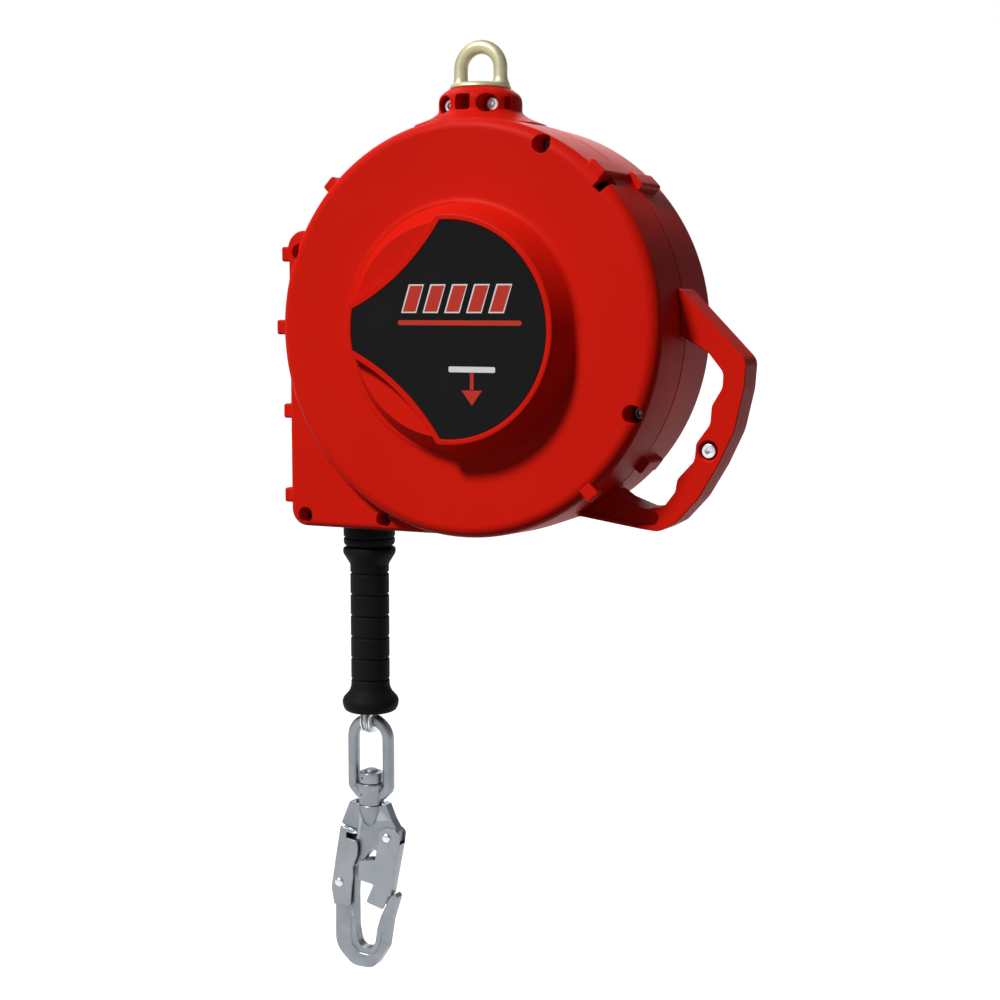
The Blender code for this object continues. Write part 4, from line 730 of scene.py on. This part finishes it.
def strands(points, count, centre, radius, pitch, sides):
    """Round strands laid round a line, as in a wire rope."""
    path = resample(points, pitch / (12))
    side = Vector((0, 1, 0))
    made = []
    frames = []
    for index, here in enumerate(path):
        ahead = path[min(index + 1, len(path) - 1)]
        along = (ahead - path[max(index - 1, 0)]).normalized()
        side = (side - along * side.dot(along)).normalized()
        frames.append((here, side.copy(), along.cross(side)))
    length = 0
    turns = []
    for index, here in enumerate(path):
        length += (here - path[index - 1]).length if index else 0
        turns.append(2 * pi * length / pitch)
    for strand in range(count):
        start = 2 * pi * strand / count
        line = [here + a * (centre * cos(turn + start)) + b * (centre * sin(turn + start))
                for (here, a, b), turn in zip(frames, turns)]
        made.append(sweep(line, circle(radius, sides), at=LINE))
    return made


rope = strands(lead, 6, 1.55, 0.82, 30, 10)
rope.append(sweep(resample(lead, 3), circle(0.85, 10), at=LINE))
piece(merge(rope), "lead_rope", "lifeline", WIRE, ["lifeline_lead"], angle=60,
      weighted=False)

thimble = turned([
    (9.8, 4.2), (10.3, 4), (10.5, 3.6), (10.3, 3.1), (9, 2.6), (6.4, 2.5), (6.3, -2.5), (9, -2.6),
    (10.3, -3.1), (10.5, -3.6), (10.3, -4), (9.8, -4.2), (5.6, -4.2), (5.1, -3.7), (5.1, 3.7),
    (5.6, 4.2)], Matrix.Translation(link_at) @ Matrix.Rotation(pi / 2, 4, "Y"), ROUND * 2, True)
piece(thimble, "rope_thimble", "lifeline", ZINC, ["thimble"])

# ---- wound rope on the drum ---------------------------------------------------------------------
turn_steps = 96
coils = []
for layer, radius in enumerate((93.5, 98.25, 102.95)):
    places = [y * 4.85 for y in (-4, -3, -2, -1, 0, 1, 2, 3, 4)] if layer % 2 else \
        [y * 4.85 for y in (-3.5, -2.5, -1.5, -0.5, 0.5, 1.5, 2.5, 3.5)]
    if layer == 2:
        places = [-19.2, -14.4, -9.6, 9.6, 14.4, 19.2]
    for place in places:
        ring = [(radius * cos(2 * pi * step / turn_steps), radius * sin(2 * pi * step / turn_steps),
                 place) for step in range(turn_steps)]
        coils.append(sweep(ring, circle(2.35, 8), True, DRUM))
piece(merge(coils), "wound_rope", "drum", WIRE, ["lifeline_wound"], angle=60,
      weighted=False)

# ---- swivel link --------------------------------------------------------------------------------
def squarish(radius, power, steps):
    """Section between a circle and a square."""
    section = []
    for step in range(steps):
        angle = 2 * pi * step / steps
        c, s = cos(angle), sin(angle)
        reach = (abs(c) ** power + abs(s) ** power) ** (-1 / power)
        section.append((radius * reach * c, radius * reach * s))
    return section


HALF, SHOULDER, BOTTOM = 15.3, -356, -362
bend = 30
crown = [(x, z, 0) for x, z in arc((0, PIVOT - HALF), HALF, 0, 180, bend)]
corners = [(-HALF, SHOULDER, 4), (-9.3, BOTTOM, 4), (9.3, BOTTOM, 4), (HALF, SHOULDER, 4)]
loop = [(x, 0, z) for x, z in rounded(crown + corners, 5)]
link = sweep(loop, squarish(4.2, 2.8, ROUND // 2), True, LINE)
collar = turned([
    (9.4, -352.6), (10.2, -352.9), (10.5, -353.6), (10.5, -356.4), (10.1, -357), (10, -357.6),
    (10, -368), (9.7, -369), (9, -369.5), (5.5, -369.5), (5.5, -352.6)], LINE,
    ROUND * 2, True)
join(link, collar)
cut(link, rod(5.5, -380, -340, LINE))
cut(link, rod(0.9, -1, 8, LINE @ Matrix.Translation((-4 * MM, -8.6 * MM, -361 * MM)) @ FRONT,
              steps=16))
piece(link, "link_forging", "link", FORGED, ["swivel_link"])

# ---- snap hook ----------------------------------------------------------------------------------
HOOK_OUTER = [
    (-10.9, -370, 0), (-11.2, -367, 0.5), (-17.4, -369.3, 2), (-25.1, -387.5, 1.5),
    (-14.5, -391.5, 1.5), (-10.5, -394.5, 2), (-14, -401.5, 4), (-20, -407, 5), (-20.5, -424, 10),
    (-30, -437, 8), (-31, -456, 10), (-31.3, -488, 19), (-16, -502, 14), (3, -502, 12),
    (14.7, -484, 10), (18.5, -461, 12), (24.8, -441.3, 1.5), (22.5, -438.5, 1),
]
HOOK_INNER = [
    (18.5, -441, 1), (9.8, -457.9, 8), (6.5, -468, 8), (3.8, -485.3, 8), (-9.8, -486.5, 7),
    (-12.8, -470, 8), (-13, -420, 2), (-6.6, -416, 3), (3.2, -404.5, 3), (8, -407.5, 4),
    (20, -405.6, 6), (25.2, -398, 5), (26, -388.5, 4), (20.5, -380, 4), (15.5, -368.5, 2),
    (11.2, -367, 0.5), (10.9, -370, 0),
]
gate_pin = Vector(joints["gate_swing"]["pos_m"])
lever_pin = Vector(joints["lever_squeeze"]["pos_m"])

hook = soften(prism(rounded(HOOK_OUTER + HOOK_INNER, 5), -4.2, 4.2, HOOK), 1.7)
cone = turned([
    (0, -342), (4.2, -342), (5.2, -343), (5.2, -369.7), (9.2, -369.7), (9.6, -370.2), (9.6, -373),
    (9.3, -376), (8.4, -380), (6.6, -384), (4, -387.5), (1.8, -389.6), (0, -390)],
    LINE, ROUND * 2)
join(hook, cone)
crescent = [(-17.2, -462), (-17.4, -476), (-15.4, -484.5), (-9.5, -490.4), (-2, -491), (4.5, -488.4),
            (8.4, -481), (10.4, -471)]
smooth = resample([(x, y, 0) for x, y in crescent], 1.5)
for face in (1, -1):
    groove = sweep([(p.x, p.y, face * 4.7) for p in smooth], circle(1.1, 12), at=HOOK)
    cut(hook, groove)
    ridge = sweep([(x, y, face * 3.7) for x, y in
                   ((-29.6, -447), (-24, -446.2), (-19.2, -448.5), (-16, -454), (-15.6, -462))],
                  circle(1.15, 12), at=HOOK)
    join(hook, ridge)
for pin in (gate_pin, lever_pin):
    cut(hook, rod(PIN_HOLE, -20, 20, Matrix.Translation(pin) @ FRONT, steps=24))
piece(hook, "hook_forging", "hook", FORGED, ["hook_body"])

cap = turned([(5.5, -344), (8.4, -344), (9, -344.4), (9.2, -345.2), (9.2, -352), (8.9, -352.3),
              (5.5, -352.3)], LINE, ROUND * 2, True)
cut(cap, rod(0.9, -1, 8, LINE @ Matrix.Translation((-3.6 * MM, -7.2 * MM, -348 * MM)) @ FRONT,
             steps=16))
piece(cap, "swivel_collar_cap", "hook", FORGED, ["swivel_cap"])


def rivet(name, node, pin, reach):
    """Rivet with a domed head on each outer cheek."""
    foot = reach + 0.15
    dome = [(3.6 * cos(radians(a)), foot + 1.35 * sin(radians(a))) for a in range(80, -1, -16)]
    profile = [(0, foot + 1.35)] + dome + [(3.6, foot), (2, foot)]
    profile += [(radius, -height) for radius, height in profile[::-1]]
    made = turned(profile, Matrix.Translation(pin) @ FRONT, ROUND)
    return piece(made, name, "hook", ZINC, [node])


rivet("gate_pin_rivet", "gate_rivet", gate_pin, 6.15)
rivet("lever_pin_rivet", "lever_rivet", lever_pin, 7.95)

GATE_CHEEK = [
    (9.5, -390, 2), (14, -386.5, 3), (24, -386.5, 3), (28.4, -391, 3), (27.6, -398, 0),
    (19.3, -439.5, 1), (17, -441.5, 0.5), (12.4, -451.9, 1.5), (-2.5, -448.1, 1.5),
    (4.3, -432.9, 1), (-9.4, -431, 1), (-8.5, -415.3, 1), (5.8, -413, 1), (9, -397, 0),
]
GATE_ROOM = [(-60, -370), (60, -370), (60, -398.5), (26.1, -398.5), (17.8, -440), (17.8, -475),
             (-60, -475)]
LEVER_CHEEK = [
    (-25.4, -388.7, 1.5), (-12, -391.2, 0.8), (-12.2, -392.6, 0.6), (-19, -393.5, 1),
    (-19, -398, 1.5), (-9.2, -399.5, 2), (-8.5, -404, 2), (-9, -411, 3), (-13, -420.4, 3),
    (-13.2, -428, 3), (-14.5, -437, 3), (-15.8, -452.8, 2), (-32.2, -453.1, 3), (-34.5, -440, 5),
    (-30.5, -415.7, 20),
]
LEVER_ROOM = [(-60, -380), (-60, -392), (-24.4, -392), (-28.8, -415.7), (-32.6, -439),
              (-31.9, -447), (-60, -448), (-60, -470), (0, -470), (0, -380)]


def bend_guard(edge, outside, radius, far):
    """Solid whose section is square on the far side and round along the bent edge."""
    rows = []
    side = 1 if far < edge[0][0] else -1
    for x, height in edge:
        centre = x - side * radius
        curve = [(centre + side * radius * sin(radians(a)), outside - radius + radius * cos(radians(a)))
                 for a in range(0, 91, 15)]
        curve += [(x, -y) for x, y in curve[::-1]]
        rows.append([(far, outside)] + curve + [(far, -outside)])
    size = len(rows[0])
    vertices = [(x, height, y) for (_, height), row in zip(edge, rows) for x, y in row]
    faces = [tuple(range(size)), tuple(range(size * (len(edge) - 1), size * len(edge)))[::-1]]
    for index in range(len(edge) - 1):
        base = index * size
        faces += [(base + i, base + (i + 1) % size, base + size + (i + 1) % size, base + size + i)
                  for i in range(size)]
    return solid(vertices, faces, HOOK)


def folded(cheek, room, guard, inside, outside, pin):
    """Folded sheet: two cheeks joined along a rounded back."""
    made = prism(rounded(cheek, 6), -outside, outside, HOOK)
    made = soften(made, 0.35, 2)
    keep(made, guard)
    cut(made, prism(room, -inside, inside, HOOK),
        rod(PIN_HOLE, -20, 20, Matrix.Translation(pin) @ FRONT, steps=24))
    return made


GATE_BEND = [(28.5, -384), (28.4, -391), (27.6, -398), (19.3, -439.5), (18.9, -465)]
gate = folded(GATE_CHEEK, GATE_ROOM, bend_guard(GATE_BEND, 6, 3.2, -20), 4.5, 6, gate_pin)
piece(gate, "gate_sheet", "gate", SHEET, ["gate"])
LEVER_BEND = [(-25.3, -384), (-25.6, -389), (-30.4, -415.7), (-34.3, -439), (-34.3, -441.5),
              (-32, -456)]
lever = folded(LEVER_CHEEK, LEVER_ROOM, bend_guard(LEVER_BEND, 7.8, 4.6, 0), 6.3, 7.8, lever_pin)
cut(lever, prism(box_outline(-24.6, -398.4, -12, -393.2, 1), -12, -5, HOOK))
piece(lever, "lever_sheet", "lock_lever", SHEET, ["lock_lever"])

# ---- carried-over pieces ------------------------------------------------------------------------
slots = {entry["node"]: entry["material_slot"] for entry in frame["record"]["subparts"]}
for node, cad in frame["nodes"].items():
    if cad.hide_render:
        continue
    cad.data.materials.clear()
    cad.data.materials.append(FINISH[slots[node]])
    cad.data.shade_smooth()
    cad.data.set_sharp_from_angle(angle=radians(32))

# ---- floor, light and camera --------------------------------------------------------------------
def stage_material():
    made = bpy.data.materials.new("pale_floor")
    made.use_nodes = True
    shader = made.node_tree.nodes["Principled BSDF"]
    shader.inputs["Base Color"].default_value = (0.9, 0.9, 0.9, 1)
    shader.inputs["Roughness"].default_value = 0.9
    shader.inputs["Emission Color"].default_value = (1, 1, 1, 1)
    shader.inputs["Emission Strength"].default_value = 0.35
    return made


floor_mesh = bpy.data.meshes.new("floor")
floor_mesh.from_pydata([(-60, -60, -1.6), (60, -60, -1.6), (60, 60, -1.6), (-60, 60, -1.6)], [],
                       [(0, 1, 2, 3)])
floor = bpy.data.objects.new("floor", floor_mesh)
floor_mesh.materials.append(stage_material())
bpy.context.scene.collection.objects.link(floor)
floor.visible_diffuse = False


def lamp(name, kind, towards, energy, size, colour=(1, 1, 1), distance=3):
    data = bpy.data.lights.new(name, kind)
    data.energy = energy
    data.color = colour
    if kind == "SUN":
        data.angle = size
    else:
        data.shape = "DISK"
        data.size = size
    made = bpy.data.objects.new(name, data)
    bpy.context.scene.collection.objects.link(made)
    direction = Vector(towards).normalized()
    made.location = Vector((0, 0, -0.3)) + direction * distance
    made.rotation_mode = "QUATERNION"
    made.rotation_quaternion = direction.to_track_quat("Z", "Y")
    return made


lamp("key", "SUN", (-0.36, -0.75, 0.86), 3.6, radians(10))
lamp("soft_front", "AREA", (-0.5, -1, 0.25), 5, 1.6)
lamp("rim", "AREA", (-0.9, 0.5, 1.0), 10, 1.2)
lamp("back", "AREA", (-0.3, 1, 0.5), 14, 1.4)

world = bpy.data.worlds.new("studio")
bpy.context.scene.world = world
world.use_nodes = True
tree = world.node_tree
background = tree.nodes["Background"]
background.inputs["Color"].default_value = (0.95, 0.97, 1.0, 1)
background.inputs["Strength"].default_value = 0.08
seen = tree.nodes.new("ShaderNodeBackground")
seen.inputs["Color"].default_value = (1, 1, 1, 1)
rays = tree.nodes.new("ShaderNodeLightPath")
mixed = tree.nodes.new("ShaderNodeMixShader")
tree.links.new(rays.outputs["Is Camera Ray"], mixed.inputs[0])
tree.links.new(seen.outputs[0], mixed.inputs[2])
glossy = tree.nodes.new("ShaderNodeBackground")
glossy.inputs["Color"].default_value = (1, 1, 1, 1)
glossy.inputs["Strength"].default_value = 0.3
in_metal = tree.nodes.new("ShaderNodeMixShader")
tree.links.new(rays.outputs["Is Glossy Ray"], in_metal.inputs[0])
tree.links.new(background.outputs[0], in_metal.inputs[1])
tree.links.new(glossy.outputs[0], in_metal.inputs[2])
tree.links.new(in_metal.outputs[0], mixed.inputs[1])
tree.links.new(mixed.outputs[0], tree.nodes["World Output"].inputs["Surface"])
bpy.context.scene.view_settings.view_transform = "Standard"

azimuth, elevation, distance = radians(25.2), radians(6.35), 1.295
target = Vector((0.0155, 0, -0.3238))
back = Vector((sin(azimuth) * cos(elevation), -cos(azimuth) * cos(elevation), sin(elevation)))
camera_data = bpy.data.cameras.new("camera")
camera_data.sensor_width = 36
camera_data.lens = 63
camera = bpy.data.objects.new("camera", camera_data)
bpy.context.scene.collection.objects.link(camera)
camera.location = target + back * distance
camera.rotation_mode = "QUATERNION"
camera.rotation_quaternion = back.to_track_quat("Z", "Y")
bpy.context.scene.camera = camera
